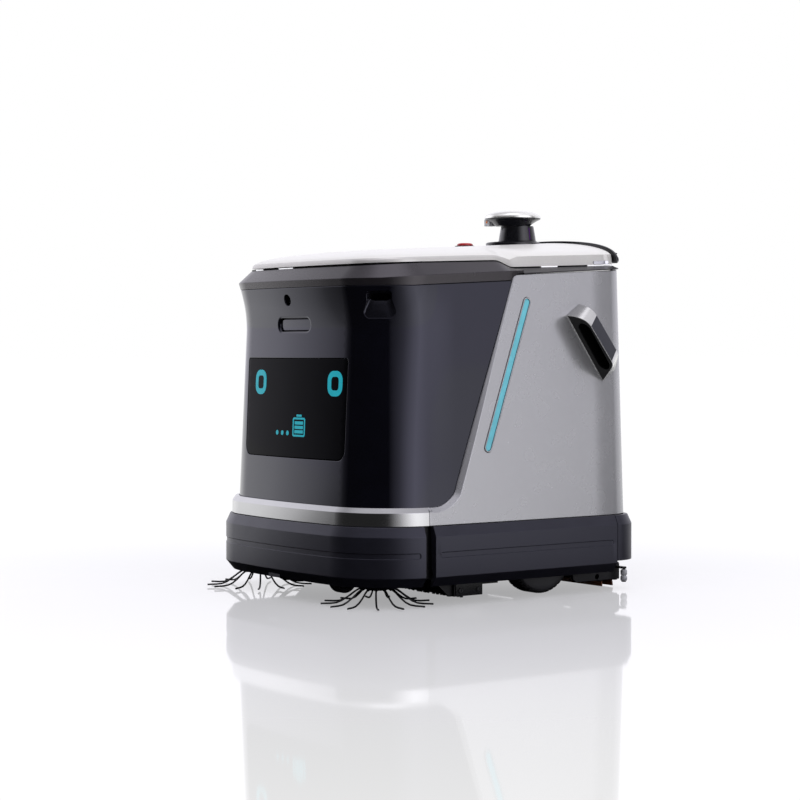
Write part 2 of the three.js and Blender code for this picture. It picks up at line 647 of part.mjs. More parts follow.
// ---------------------------------------------------------------- visor
const cornerMarks = [SLANT_HIGH.y, 33, PANEL_TOP.y].map(sideStation);
const visorStations = stationsBetween(
  -sideStation(VISOR_END_Y), sideStation(VISOR_END_Y), SEAM_STEP, [...SEAM_MARKS, ...cornerMarks]);
function visorSection(st) {
  const panelTop = st.y > SILL_SEAM_Y && Math.abs(st.s) > S_BOW ? panelTopAt(st.y) + 2.2 : 0;
  const seam = seamHeight(st.y);
  const crease = Math.max(visorCrease(st.y), panelTop + 1.5);
  const foot = Math.min(Math.max(visorFoot(st.y), panelTop), crease - 1.2);
  const top = Math.max(seam, crease + 4);
  return [
    [VISOR.inset0, foot], [VISOR.insetCrease, crease], [VISOR.insetSeam, top],
    [VISOR.insetSeam + 3, top], [VISOR.insetSeam + 3, top - 2.5], [VISOR.insetCrease + 5, crease - 1],
    [VISOR.inset0 + 3, foot],
  ];
}
add('visor', 'visor_black', sweep(visorStations, visorSection));

const bandStart = sideStation(VISOR_END_Y + 0.8);
const bandSection = (st) => {
  const low = panelTopLine(Math.min(st.y, REAR_TOP_Y)) + 1;
  const seam = seamHeight(Math.min(st.y, SEAM_LEVEL_Y));
  const rim = rimInset(st, VISOR.insetSeam);
  return [[25, low], [rim, seam], [rim + 3, seam], [rim + 3, seam - 2.5], [rim + 1, low]];
};
const knuckleBed = (side) => box(
  side * HINGE.x - 12, side * HINGE.x + 12, HINGE.y - 9, HINGE.y + 6, 572, HINGE.z - HINGE.r - 1.2);
const bandStations = [
  ...stationsBetween(bandStart, S_END, 90),
  ...stationsBetween(-S_END, -bandStart, 90).slice(1),
];
add('rear_band', 'visor_black', join(
  sweep(bandStations, bandSection), knuckleBed(1), knuckleBed(-1)));

// ---------------------------------------------------------------- lid
const crownHeight = (y) => LID_CROWN_Z + LID_CROWN_SLOPE * y;
const LID_RINGS = [1, 0.98, 0.94, 0.86, 0.7, 0.4, 0];
const LID_REAR_Y = REAR_Y - LID_INSET + LID_REAR_REACH;
const SPINE = { y0: -110, y1: LID_REAR_Y };

function lidSurface(drop, shrink) {
  const stations = stationsBetween(-S_END, S_END - SEAM_OPENING, SEAM_STEP, SEAM_MARKS);
  return LID_RINGS.map((r) => stations.map((st) => {
    const rim = inset(st, rimInset(st, LID_INSET) + shrink, 0);
    const y0 = Math.min(Math.max(rim.y, SPINE.y0), SPINE.y1 - shrink);
    const x = rim.x * r;
    const y = y0 + (rim.y - y0) * r;
    const edge = seamHeight(Math.min(rim.y, SEAM_LEVEL_Y)) + LID_GAP;
    const along = (rim.y - LID_POWER.blendY0) / (LID_POWER.blendY1 - LID_POWER.blendY0);
    const power = mix(LID_POWER.front, LID_POWER.rear, smooth(along));
    const rise = (1 - r ** power) ** (1 / power);
    const top = mix(edge, crownHeight(Math.max(y, -230)), rise) - drop * Math.min(1, rise * 4);
    return new THREE.Vector3(x, y, r === 1 ? edge : top);
  }));
}

function lidSolid() {
  const outer = lidSurface(0, 0);
  const inner = lidSurface(LID_WALL, LID_WALL);
  const rings = [...outer.slice().reverse(), ...inner];
  const count = rings[0].length;
  const triangles = [];
  for (let i = 0; i < rings.length - 1; i++) {
    for (let j = 0; j < count; j++) {
      const k = (j + 1) % count;
      const [a, b, c, d] = [i * count + j, i * count + k, (i + 1) * count + k, (i + 1) * count + j];
      triangles.push([a, b, c], [a, c, d]);
    }
  }
  return solid(rings.flat(), triangles);
}

const lidarAt = (geometry) => geometry.translate(0, LIDAR.y, 0);
const estopAt = (geometry) => geometry.translate(0, ESTOP.y, 0);
add('lid_shell', 'lid_white', cut(
  lidSolid(),
  lidarAt(cylinder(LIDAR.baseR + GAP, 590, 660, 28)),
  estopAt(cylinder(ESTOP.collarR + GAP, 590, 660, 24)),
));

// Black arch over the rear edge of the lid, ending in the hinge knuckles.
const ARCH = { halfX: 214, footZ: 583, springZ: 583.5, rise: 2, depth: 8, legWidth: 12 };
const ARCH_STEPS = 16;
function archPoint(t, lift) {
  const height = Math.sqrt(Math.max(0, 1 - t * t));
  return [ARCH.halfX * t, mix(ARCH.springZ, crownHeight(LID_REAR_Y) + 1, height) + lift];
}
const archRange = Array.from({ length: ARCH_STEPS + 1 }, (_, i) => {
  const t = -1 + 2 * i / ARCH_STEPS;
  return Math.sign(t) * (1 - (1 - Math.abs(t)) ** 1.5);
});
const archInnerX = ARCH.halfX - ARCH.legWidth;
const archOutline = [
  [-ARCH.halfX, ARCH.footZ],
  ...archRange.map((t) => archPoint(t, ARCH.rise)),
  [ARCH.halfX, ARCH.footZ], [archInnerX, ARCH.footZ],
  ...archRange.slice().reverse().map((t) => archPoint(t * 0.95, -ARCH.depth)),
  [-archInnerX, ARCH.footZ],
];
const archPlate = alongY(plate(archOutline, -LID_REAR_Y - 7.5, -LID_REAR_Y - GAP));
const knuckleTube = (side) => alongX(cylinder(HINGE.r, -9, 9, 16))
  .translate(side * HINGE.x, HINGE.y, HINGE.z);
const knuckleArm = (side) => box(
  side * HINGE.x - 9, side * HINGE.x + 9, LID_REAR_Y + 1, HINGE.y, HINGE.z - 4, HINGE.z + 5);
add('lid_hinge_arch', 'frame_black', join(
  archPlate, knuckleArm(1), knuckleArm(-1), knuckleTube(1), knuckleTube(-1)));

const lidarProfile = [[0, 612], [LIDAR.baseR, 612], [LIDAR.baseR, LIDAR.windowZ - 1],
  [LIDAR.baseR - 2, LIDAR.windowZ], [0, LIDAR.windowZ]];
add('lidar_base', 'frame_black', lidarAt(turned(lidarProfile, 28)));
add('lidar_window', 'glass_dark', lidarAt(turned(closedRing([
  [35, LIDAR.windowZ + GAP], [30.5, LIDAR.coneZ - GAP],
  [28, LIDAR.coneZ - GAP], [32.5, LIDAR.windowZ + GAP]]), 28)));
add('lidar_rotor', 'motor_grey', lidarAt(turned([[0, LIDAR.windowZ + 1], [22, LIDAR.windowZ + 1],
  [22, LIDAR.windowZ + 8], [17, LIDAR.windowZ + 8], [17, LIDAR.coneZ - 3], [0, LIDAR.coneZ - 3]], 20)));
const domeSteps = 4;
const domeProfile = Array.from({ length: domeSteps + 1 }, (_, i) => {
  const angle = Math.PI / 2 * i / domeSteps;
  return [52 * Math.cos(angle), LIDAR.rimZ + (LIDAR.topZ - LIDAR.rimZ) * Math.sin(angle)];
});
add('lidar_cap', 'silver', join(
  lidarAt(turned([[0, LIDAR.coneZ], [31, LIDAR.coneZ], [50, LIDAR.rimZ - 2.5], ...domeProfile.slice(0, -1),
    [0, LIDAR.topZ]], 28)),
  box(-46, -30, LIDAR.y - 27, LIDAR.y - 12, 658.5, 671)));

add('estop_collar', 'frame_black', estopAt(turned(closedRing([[9, 606], [ESTOP.collarR, 606],
  [ESTOP.collarR, ESTOP.collarZ - 1], [ESTOP.collarR - 2, ESTOP.collarZ], [9, ESTOP.collarZ]]), 20)));
add('estop_button', 'emergency_red', estopAt(turned([
  [0, 604], [8.5, 604], [8.5, ESTOP.capZ], [ESTOP.r, ESTOP.capZ], [ESTOP.r, ESTOP.topZ - 2.5],
  [ESTOP.r - 2.5, ESTOP.topZ - 0.8], [ESTOP.r - 6, ESTOP.topZ], [0, ESTOP.topZ]], 20)));

// ---------------------------------------------------------------- handles
function handleShape() {
  const shape = new THREE.Shape();
  shape.moveTo(0, 0);
  shape.bezierCurveTo(2, 24, 8, HANDLE.out - 6, HANDLE_FACE.start, HANDLE.out - HANDLE_FACE.slope);
  shape.lineTo(HANDLE_FACE.end, HANDLE.out);
  shape.bezierCurveTo(110, HANDLE.out + 1, 116, 38, HANDLE.length, 0);
  return shape;
}

// Bring the outer face closer to the panel towards the back of the handle.
function tapered(geometry) {
  const p = geometry.getAttribute('position');
  for (let i = 0; i < p.count; i++) {
    p.setY(i, p.getY(i) * (1 - HANDLE.taper * p.getZ(i) / HANDLE.width));
  }
  return geometry;
}
function handleSolid(side) {
  const d = HANDLE_DIRECTION;
  const face = HALF_WIDTH - panelInset(HANDLE.z) + 0.5;
  const lean = PANEL_LEAN * -d.y;
  const place = new THREE.Matrix4().makeBasis(
    new THREE.Vector3(lean, d.x, d.y), new THREE.Vector3(1, 0, 0),
    new THREE.Vector3(-PANEL_LEAN * 0.6, -d.y, d.x));
  place.setPosition(face, HANDLE.y, HANDLE.z);
  const options = { depth: HANDLE.width, bevelEnabled: false, curveSegments: 6 };
  const body = tapered(new THREE.ExtrudeGeometry(handleShape(), options));
  const pocket = plate(stadium(GRIP_SLOT.halfLength, GRIP_SLOT.r), -2, HANDLE.width - GRIP_SLOT.wall)
    .translate(GRIP_SLOT.along, GRIP_SLOT.out, 0);
  tapered(pocket);
  const geometry = cut(outward(weld(body.applyMatrix4(place))), outward(pocket.applyMatrix4(place)));
  return side === 1 ? geometry : outward(geometry.scale(-1, 1, 1));
}
add('handle_right', 'silver', handleSolid(1));
add('handle_left', 'silver', handleSolid(-1));

// ---------------------------------------------------------------- tanks, battery, electronics
const TANK = { x0: 6, x1: 200, y0: -196, y1: 20, z0: 200, z1: 525 };
const TANK_NECK = { x: 100, y: -100, r: 28, height: 16 };
const tank = (side) => join(
  box(...span(side, TANK.x0, TANK.x1), TANK.y0, TANK.y1, TANK.z0, TANK.z1),
  cylinder(TANK_NECK.r, TANK.z1 - 1, TANK.z1 + TANK_NECK.height, 20)
    .translate(side * TANK_NECK.x, TANK_NECK.y, 0));
add('clean_water_tank', 'tank_plastic', tank(-1));
add('recovery_tank', 'tank_plastic', tank(1));
add('battery_pack', 'battery_blue', box(-150, 150, 60, 240, 170, 300));
add('control_box', 'motor_grey', box(-140, 140, 150, 262, 340, 480));
const SUCTION_Y = 84;
const suctionProfile = [[0, 340], [52, 340], [52, 380], [64, 384], [64, 428], [30, 436], [0, 436]];
add('suction_motor', 'motor_grey', turned(suctionProfile).translate(0, SUCTION_Y, 0));
const hosePoints = [
  [100, -60, 543], [100, -20, 556], [60, 60, 552], [4, SUCTION_Y, 520], [0, SUCTION_Y, 437],
];
const hosePath = new THREE.CatmullRomCurve3(hosePoints.map((p) => new THREE.Vector3(...p)));
const HOSE_R = 14;
const HOSE_SIDES = 8;
const hoseRing = new THREE.Shape(Array.from({ length: HOSE_SIDES }, (_, i) => {
  const angle = 2 * Math.PI * i / HOSE_SIDES;
  return new THREE.Vector2(HOSE_R * Math.cos(angle), HOSE_R * Math.sin(angle));
}));
const hoseOptions = { steps: 12, extrudePath: hosePath, bevelEnabled: false };
add('suction_hose', 'rubber_black', outward(weld(new THREE.ExtrudeGeometry(hoseRing, hoseOptions))));

// ---------------------------------------------------------------- drive
const wheelX = WHEEL.outerX - WHEEL.width / 2;
const onAxle = (geometry) => alongX(geometry).translate(wheelX, WHEEL.y, WHEEL.r);
addPair('drive_tyre', 'rubber_black', () => onAxle(turned(closedRing([
  [50, -20], [62, -20], [WHEEL.r, -16], [WHEEL.r, 16], [62, 20], [50, 20]]), 32)));
addPair('drive_hub', 'frame_black', () => onAxle(turned([
  [0, -22], [16, -22], [16, -10], [49.6, -14], [49.6, 14], [30, 10], [14, 16], [0, 16]])));
addPair('drive_motor', 'motor_grey', () => join(
  alongX(cylinder(30, -58, 50, 18)).translate(100, WHEEL.y, WHEEL.r),
  alongX(cylinder(20, -12, 12, 18)).translate(160, WHEEL.y, WHEEL.r)));

const atSwivel = (geometry) => geometry.translate(0, CASTER.swivelY, 0);
add('caster_mount', 'steel', atSwivel(turned(closedRing([
  [CASTER.pocketR, 52.4], [CASTER.pocketR + 3, 52.4], [CASTER.pocketR + 3, CASTER.plateZ + 4],
  [6, CASTER.plateZ + 4], [6, CASTER.plateZ], [CASTER.pocketR, CASTER.plateZ]]), 20)));
const forkSide = (side) => box(...span(side, 14, 17), CASTER.swivelY - 8, CASTER.y + 8, 19, 52);
const casterAxle = () => alongX(cylinder(3, -15, 15, 10)).translate(0, CASTER.y, CASTER.r);
add('caster_fork', 'steel', join(
  box(-17, 17, CASTER.swivelY - 12, CASTER.y + 10, 51, 54),
  forkSide(1), forkSide(-1), casterAxle(), atSwivel(cylinder(5.4, 53, CASTER.plateZ + 6, 14))));
add('caster_wheel', 'rubber_black', alongX(turned(closedRing([
  [3.6, -12], [CASTER.r - 2, -12], [CASTER.r, -9], [CASTER.r, 9], [CASTER.r - 2, 12], [3.6, 12]]), 24))
  .translate(0, CASTER.y, CASTER.r));

// ---------------------------------------------------------------- main brush deck
const deckPlate = (side) => box(...span(side, DECK.halfX, DECK.halfX + 6), -86, -25, DECK.bottomZ, 60);
const deckSideShape = [[DECK.y0, 40], [-92, DECK.bottomZ], [-20, DECK.bottomZ], [-20, 26], [DECK.y1, 26],
  [DECK.y1, DECK.topZ - 18], [-20, DECK.topZ], [-92, DECK.topZ], [DECK.y0, DECK.topZ - 18]];
// Extrude a [y, z] outline along X.
const alongSide = (points, x0, x1) => outward(plate(points, x0, x1)
  .applyMatrix4(new THREE.Matrix4().makeBasis(
    new THREE.Vector3(0, 1, 0), new THREE.Vector3(0, 0, 1), new THREE.Vector3(1, 0, 0))));
add('brush_deck', 'frame_black', cut(
  join(alongSide(deckSideShape, -DECK.halfX, DECK.halfX), deckPlate(1), deckPlate(-1)),
  alongX(cylinder(MAIN_BRUSH.r + 7, -213, 213, 28)).translate(0, MAIN_BRUSH.y, MAIN_BRUSH.z + 4),
  box(-213, 213, MAIN_BRUSH.y - 40, MAIN_BRUSH.y + 36, 0, 40),
));
const FINS = 10;
const finOutline = [];
const finCorners = [
  [MAIN_BRUSH.coreR, 0.1], [MAIN_BRUSH.r, 0.3], [MAIN_BRUSH.r, 0.6], [MAIN_BRUSH.coreR, 0.9]];
for (let i = 0; i < FINS; i++) {
  for (const [r, part] of finCorners) {
    const angle = 2 * Math.PI * (i + part) / FINS;
    finOutline.push([r * Math.cos(angle), r * Math.sin(angle)]);
  }
}
const rollerBody = alongX(plate(finOutline, -MAIN_BRUSH.halfLength, MAIN_BRUSH.halfLength));
add('main_brush', 'bristle_black', rollerBody.translate(0, MAIN_BRUSH.y, MAIN_BRUSH.z));
add('brush_motor', 'motor_grey', alongX(cylinder(26, -70, 70, 20)).translate(100, -60, DECK.topZ + 30));

// ---------------------------------------------------------------- side brushes
// Heights and radii along one tuft, from the hub out to the tip lying on the floor.
const TUFT_PATH = [
  [20, 34], [36, 25.5], [54, 13], [76, SIDE_BRUSH.tipZ + 1.6], [SIDE_BRUSH.tipR, SIDE_BRUSH.tipZ + 1]];
const TUFT = { twist: 0.05, halfWidth: 1.6, halfHeight: 1.2, start: -0.2 };
function tuft(angle) {
  const bend = new THREE.CatmullRomCurve3(TUFT_PATH.map(([r, z], i) => {
    const a = angle + TUFT.twist * i;
    return new THREE.Vector3(r * Math.cos(a), r * Math.sin(a), z);
  }));
  const [w, h] = [TUFT.halfWidth, TUFT.halfHeight];
  const corners = [[-w, -h], [w, -h], [w, h], [-w, h]];
  const ring = new THREE.Shape(corners.map(([x, y]) => new THREE.Vector2(x, y)));
  return outward(weld(new THREE.ExtrudeGeometry(ring, { steps: 5, extrudePath: bend, bevelEnabled: false })));
}
function sideBrush() {
  const hub = turned([
    [0, 26], [20, 26], [SIDE_BRUSH.hubR, 32], [SIDE_BRUSH.hubR, SIDE_BRUSH.hubTopZ],
    [0, SIDE_BRUSH.hubTopZ]], 12);
  const count = SIDE_BRUSH.tufts;
  const tufts = Array.from({ length: count }, (_, i) => tuft(2 * Math.PI * i / count + TUFT.start));
  return join(hub, ...tufts).translate(SIDE_BRUSH.x, SIDE_BRUSH.y, 0);
}
addPair('side_brush', 'bristle_black', sideBrush);
const shaftZ = SIDE_BRUSH.hubTopZ + 1;
addPair('side_brush_motor', 'motor_grey', () => turned([
  [0, shaftZ], [10, shaftZ], [10, 54], [32, 54], [32, 96], [18, 100], [0, 100]], 20)
  .translate(SIDE_BRUSH.x, SIDE_BRUSH.y, 0));

// ---------------------------------------------------------------- squeegee
const armShape = [[SQUEEGEE.armY0, 14], [SQUEEGEE.armY1, 14], [SQUEEGEE.armY1, 44],
  [SQUEEGEE.pivotY + 14, 76], [SQUEEGEE.pivotY - 8, 78], [SQUEEGEE.armY0, 40]];
const squeegeeArm = (side) => alongSide(
  armShape, ...span(side, SQUEEGEE.armX, SQUEEGEE.armX + SQUEEGEE.armWall));
const PIVOT = { x: 221, r: 5, halfLength: 5 };
const pivotPin = (side) => alongX(cylinder(PIVOT.r, -PIVOT.halfLength, PIVOT.halfLength, 14))
  .translate(side * PIVOT.x, SQUEEGEE.pivotY, SQUEEGEE.pivotZ);
const rollerArm = (side) => join(
  box(...span(side, SQUEEGEE.armX, GUIDE_ROLLER.x + 3), GUIDE_ROLLER.y - 5, GUIDE_ROLLER.y + 4,
    GUIDE_ROLLER.z1 + 1, GUIDE_ROLLER.z1 + 5),
  cylinder(GUIDE_ROLLER.pinR, GUIDE_ROLLER.z0, GUIDE_ROLLER.z1 + 2, 14)
    .translate(side * GUIDE_ROLLER.x, GUIDE_ROLLER.y, 0));
const rearBarY = BLADE.rearY + BLADE.thickness + GAP;
const frontBarY = BLADE.frontY - GAP;
const barEnd = SQUEEGEE.armX + 1;
const bladeBar = (y0) => box(-barEnd, barEnd, y0, y0 + BLADE_BAR.width, BLADE_BAR.z0, BLADE.topZ + GAP + 2);
add('squeegee_frame', 'frame_black', join(
  bladeBar(frontBarY - BLADE_BAR.width), bladeBar(rearBarY),
  box(-barEnd, barEnd, frontBarY - BLADE_BAR.width, rearBarY + BLADE_BAR.width,
    BLADE.topZ + GAP, BLADE_BAR.roofZ),
  squeegeeArm(1), squeegeeArm(-1), pivotPin(1), pivotPin(-1), rollerArm(1), rollerArm(-1)));
const blade = (y0) => box(-SQUEEGEE.halfX, SQUEEGEE.halfX, y0, y0 + BLADE.thickness, BLADE.tipZ, BLADE.topZ);
add('squeegee_blade_front', 'amber_rubber', blade(BLADE.frontY));
add('squeegee_blade_rear', 'amber_rubber', blade(BLADE.rearY));
const rollerProfile = [
  [GUIDE_ROLLER.pinR + GAP, GUIDE_ROLLER.z0], [GUIDE_ROLLER.r, GUIDE_ROLLER.z0 + 1],
  [GUIDE_ROLLER.r, GUIDE_ROLLER.z1 - 1], [GUIDE_ROLLER.pinR + GAP, GUIDE_ROLLER.z1],
];
addPair('guide_roller', 'roller_white', () => turned(closedRing(rollerProfile), 20)
  .translate(GUIDE_ROLLER.x, GUIDE_ROLLER.y, 0));
const bracketBox = (x1, z0) => box(
  BRACKET.x0, x1, SQUEEGEE.pivotY - BRACKET.halfY, SQUEEGEE.pivotY + BRACKET.halfY, z0, BRACKET.z1);
addPair('squeegee_bracket', 'frame_black', () => cut(
  join(bracketBox(BRACKET.x1, BRACKET.z0), bracketBox(BRACKET.wallX, BRACKET.webZ)),
  alongX(cylinder(PIVOT.r + 0.5, -20, 20, 14)).translate(PIVOT.x, SQUEEGEE.pivotY, SQUEEGEE.pivotZ)));

export default group;
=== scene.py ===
"""Robotic floor cleaner: the looks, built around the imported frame.

Lengths are millimetres in the frame's own axes (front -Y, up +Z); piece() turns them into metres.
"""

import json
import math

import bpy
from mathutils import Matrix, Vector, geometry

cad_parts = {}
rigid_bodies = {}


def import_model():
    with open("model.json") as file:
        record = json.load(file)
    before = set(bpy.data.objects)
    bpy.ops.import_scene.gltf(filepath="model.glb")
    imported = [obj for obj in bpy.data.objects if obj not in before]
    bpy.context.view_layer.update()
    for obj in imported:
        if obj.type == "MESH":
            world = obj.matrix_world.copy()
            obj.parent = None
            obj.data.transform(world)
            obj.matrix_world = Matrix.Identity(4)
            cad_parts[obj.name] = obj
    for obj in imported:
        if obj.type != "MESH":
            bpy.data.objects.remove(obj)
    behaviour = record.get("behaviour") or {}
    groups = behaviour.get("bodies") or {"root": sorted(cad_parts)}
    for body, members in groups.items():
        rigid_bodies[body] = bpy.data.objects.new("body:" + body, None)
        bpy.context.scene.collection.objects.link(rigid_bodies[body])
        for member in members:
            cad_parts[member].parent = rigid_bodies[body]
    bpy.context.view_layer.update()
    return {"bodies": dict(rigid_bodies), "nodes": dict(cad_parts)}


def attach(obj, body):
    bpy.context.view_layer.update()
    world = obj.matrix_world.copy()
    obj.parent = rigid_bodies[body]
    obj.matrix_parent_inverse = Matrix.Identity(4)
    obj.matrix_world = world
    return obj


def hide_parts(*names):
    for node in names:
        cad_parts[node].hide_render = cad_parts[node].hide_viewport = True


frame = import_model()
MM = 0.001

# ---------------------------------------------------------------- driving dimensions
HALF_WIDTH = 270.0
FRONT_Y = -300.0
REAR_Y = 312.0
BOW_R = 1427.0
FRONT_CORNER_R = 134.0
REAR_CORNER_R = 60.0

BUMPER_BOTTOM, BUMPER_FACE_LOW, BUMPER_FACE_HIGH, BUMPER_TOP = 34.0, 50.0, 118.0, 134.6
BUMPER_TOP_INSET = 7.5
GROOVE_LOW, GROOVE_HIGH, GROOVE_DEPTH = 83.0, 91.0, 1.3
FRONT_BUMPER_END = -178.0
SIDE_BUMPER_START, SIDE_BUMPER_END = -158.5, 245.0

SILL_LOW, SILL_BEVEL, SILL_TOP = 135.2, 157.5, 166.0
PANEL_INSET, PANEL_LEAN = 11.0, 0.0302
SILL_SEAM_Y = -164.5
SLANT_LOW, SLANT_HIGH = (-104.0, 190.0), (25.0, 548.0)
PANEL_TOP = (41.0, 556.5)
PANEL_TOP_SLOPE = 0.058
PANEL_END_X = 196.0

SHELL_LOW = 158.0
SHELL_FOOT_INSET, SHELL_WAIST_INSET, SHELL_WAIST_Z = 24.0, 37.7, 462.0
SHELL_END_Y = 28.0
SHELL_SIDE_STEP, SHELL_HIGH_STEP = 8.5, 2.8
SHELL_FACE_Y = FRONT_Y + SHELL_WAIST_INSET

VISOR_FOOT, VISOR_CREASE, VISOR_SEAM = 535.2, 547.0, 568.5
VISOR_FOOT_INSET, VISOR_CREASE_INSET, VISOR_SEAM_INSET = 27.0, 23.5, 47.0
VISOR_END_Y = 49.5
LID_GAP, LID_INSET, LID_CROWN, LID_CROWN_SLOPE, LID_REAR_REACH = 2.0, 48.0, 610.0, 0.059, 17.5
LID_REAR_Y = REAR_Y - LID_INSET + LID_REAR_REACH
HINGE_X, HINGE_Y, HINGE_Z, HINGE_R = 205.0, 292.0, 590.0, 6.0

LIDAR_Y, LIDAR_BASE_R = 227.0, 51.0
ESTOP_Y = 113.0
WHEEL_R, WHEEL_W, WHEEL_X, WHEEL_Y = 67.0, 40.0, 196.0, 118.0
SWEEPER_X, SWEEPER_Y = 183.0, -216.4
HANDLE_Y, HANDLE_Z, HANDLE_LENGTH, HANDLE_OUT = 143.9, 488.0, 142.0, 52.0
HANDLE_WIDTH, HANDLE_TAPER = 34.0, 0.35
HANDLE_DIR = (0.575, -0.818)

# ---------------------------------------------------------------- plan outline
BOW_CENTRE_Y = FRONT_Y + BOW_R
CORNER_X = HALF_WIDTH - FRONT_CORNER_R
CORNER_REACH = BOW_R - FRONT_CORNER_R
CORNER_Y = BOW_CENTRE_Y - math.sqrt(CORNER_REACH**2 - CORNER_X**2)
BOW_ANGLE = math.asin(CORNER_X / CORNER_REACH)
REAR_X = HALF_WIDTH - REAR_CORNER_R
REAR_CORNER_Y = REAR_Y - REAR_CORNER_R
S_BOW = BOW_R * BOW_ANGLE
S_CORNER = S_BOW + FRONT_CORNER_R * (math.pi / 2 - BOW_ANGLE)
S_SIDE = S_CORNER + REAR_CORNER_Y - CORNER_Y
S_REAR = S_SIDE + REAR_CORNER_R * math.pi / 2
S_END = S_REAR + REAR_X


class Station:
    """Point and outward normal on the plan outline, s along it from the middle of the front."""

    def __init__(self, s):
        side = -1.0 if s < 0 else 1.0
        d = abs(s)
        if d <= S_BOW:
            nx, ny = math.sin(d / BOW_R), -math.cos(d / BOW_R)
            x, y = BOW_R * nx, BOW_CENTRE_Y + BOW_R * ny
        elif d <= S_CORNER:
            a = BOW_ANGLE + (d - S_BOW) / FRONT_CORNER_R
            nx, ny = math.sin(a), -math.cos(a)
            x, y = CORNER_X + FRONT_CORNER_R * nx, CORNER_Y + FRONT_CORNER_R * ny
        elif d <= S_SIDE:
            nx, ny, x, y = 1.0, 0.0, HALF_WIDTH, CORNER_Y + d - S_CORNER
        elif d <= S_REAR:
            a = (d - S_SIDE) / REAR_CORNER_R
            nx, ny = math.cos(a), math.sin(a)
            x, y = REAR_X + REAR_CORNER_R * nx, REAR_CORNER_Y + REAR_CORNER_R * ny
        else:
            nx, ny, x, y = 0.0, 1.0, REAR_X - (d - S_REAR), REAR_Y
        self.s, self.x, self.y, self.nx, self.ny = s, side * x, y, side * nx, ny

    def at(self, inset, z):
        return Vector((self.x - self.nx * inset, self.y - self.ny * inset, z))


def side_s(y):
    """Distance along the outline of the right-hand point at depth y."""
    if y >= CORNER_Y:
        return S_CORNER + y - CORNER_Y
    a = math.acos(min(1.0, (CORNER_Y - y) / FRONT_CORNER_R))
    return S_BOW + (a - BOW_ANGLE) * FRONT_CORNER_R


def run(s0, s1, marks=(), flat_step=20.0):
    """Stations from s0 to s1: close together on the corners, wider apart on straight stretches."""
    found = {s0, s1, *[m for m in marks if s0 < m < s1]}
    for sign in (-1, 1):
        for a, b, step in (
            (0, S_BOW, 16.0), (S_BOW, S_CORNER, 5.0), (S_CORNER, S_SIDE, flat_step),
            (S_SIDE, S_REAR, 4.0), (S_REAR, S_END, flat_step * 2),
        ):
            count = max(1, round((b - a) / step))
            found.update(sign * (a + (b - a) * i / count) for i in range(count + 1))
    kept = []
    for s in sorted(v for v in found if s0 <= v <= s1):
        if not kept or s - kept[-1] > 0.05:
            kept.append(s)
    return [Station(s) for s in kept]


def smooth(t):
    u = min(1.0, max(0.0, t))
    return u * u * (3 - 2 * u)


def mix(a, b, t):
    return a + (b - a) * t


# ---------------------------------------------------------------- heights and insets along the machine
FOOT_RISE, FOOT_RISE_Y = 0.055, -190.0
CREASE_RISE, CREASE_RISE_Y = 0.0585, -250.0
SEAM_RISE, SEAM_RISE_Y = 0.039, -290.0
REAR_SEAM_RISE, REAR_SEAM_Z = 0.043, 569.0
SEAM_STEP_START, SEAM_STEP_END = 2.0, 46.0
SEAM_LEVEL_Y = 266.0
SLANT_FOOT_Y, SLANT_FOOT_CURVE = -146.0, 0.0125
SLANT_SLOPE = (SLANT_HIGH[1] - SLANT_LOW[1]) / (SLANT_HIGH[0] - SLANT_LOW[0])
REAR_TOP_Y = REAR_CORNER_Y + 36
TAPER_LOW, SHELL_TAPER, BEVEL_TAPER = 230.0, 300.0, 280.0
WAIST_CURVE = 0.002
SHELL_TURN_START, SHELL_TURN_END_Y = S_BOW + 0.6 * (S_CORNER - S_BOW), -100.0


def panel_inset(z):
    return PANEL_INSET + (z - SILL_LOW) * PANEL_LEAN


def panel_top_line(y):
    return PANEL_TOP[1] + PANEL_TOP_SLOPE * (y - PANEL_TOP[0])


def visor_foot(y):
    return VISOR_FOOT + FOOT_RISE * max(0.0, y - FOOT_RISE_Y)


def visor_crease(y):
    return VISOR_CREASE + CREASE_RISE * max(0.0, y - CREASE_RISE_Y)


def seam_height(y):
    """The seam under the lid: a short step up leads from the visor's line to the rear band's."""
    ahead = VISOR_SEAM + SEAM_RISE * max(0.0, y - SEAM_RISE_Y)
    behind = REAR_SEAM_Z + REAR_SEAM_RISE * (y - SEAM_STEP_END)
    return mix(ahead, behind, smooth((y - SEAM_STEP_START) / (SEAM_STEP_END - SEAM_STEP_START)))


def rim_inset(st, inset):
    """The lid's rim reaches further out at the back of the machine."""
    return inset - LID_REAR_REACH * max(0.0, st.ny) ** 3


def panel_top(y):
    """Upper edge of a side panel: a curved foot, the slant, a rounded corner and the long top line."""
    if y >= PANEL_TOP[0]:
        return panel_top_line(y)
    slant = SLANT_LOW[1] + SLANT_SLOPE * (y - SLANT_LOW[0])
    foot = SILL_TOP + SLANT_FOOT_CURVE * max(0.0, y - SLANT_FOOT_Y) ** 2
    corner = mix(SLANT_HIGH[1], PANEL_TOP[1], smooth((y - SLANT_HIGH[0]) / (PANEL_TOP[0] - SLANT_HIGH[0])))
    return min(foot if y < SLANT_LOW[0] else slant, corner)


def shell_inset(st, z):
    """The glossy shell: hollow along the front, close under the panel's surface along the sides."""
    front = mix(SHELL_FOOT_INSET, SHELL_WAIST_INSET, (z - SHELL_LOW) / (SHELL_WAIST_Z - SHELL_LOW))
    if z > SHELL_WAIST_Z:
        front = SHELL_WAIST_INSET - WAIST_CURVE * (z - SHELL_WAIST_Z) ** 2
    side = panel_inset(z) + mix(SHELL_SIDE_STEP, SHELL_HIGH_STEP, smooth((z - TAPER_LOW) / SHELL_TAPER))
    turned = (abs(st.s) - SHELL_TURN_START) / (side_s(SHELL_TURN_END_Y) - SHELL_TURN_START)
    return mix(front, side, smooth(turned))


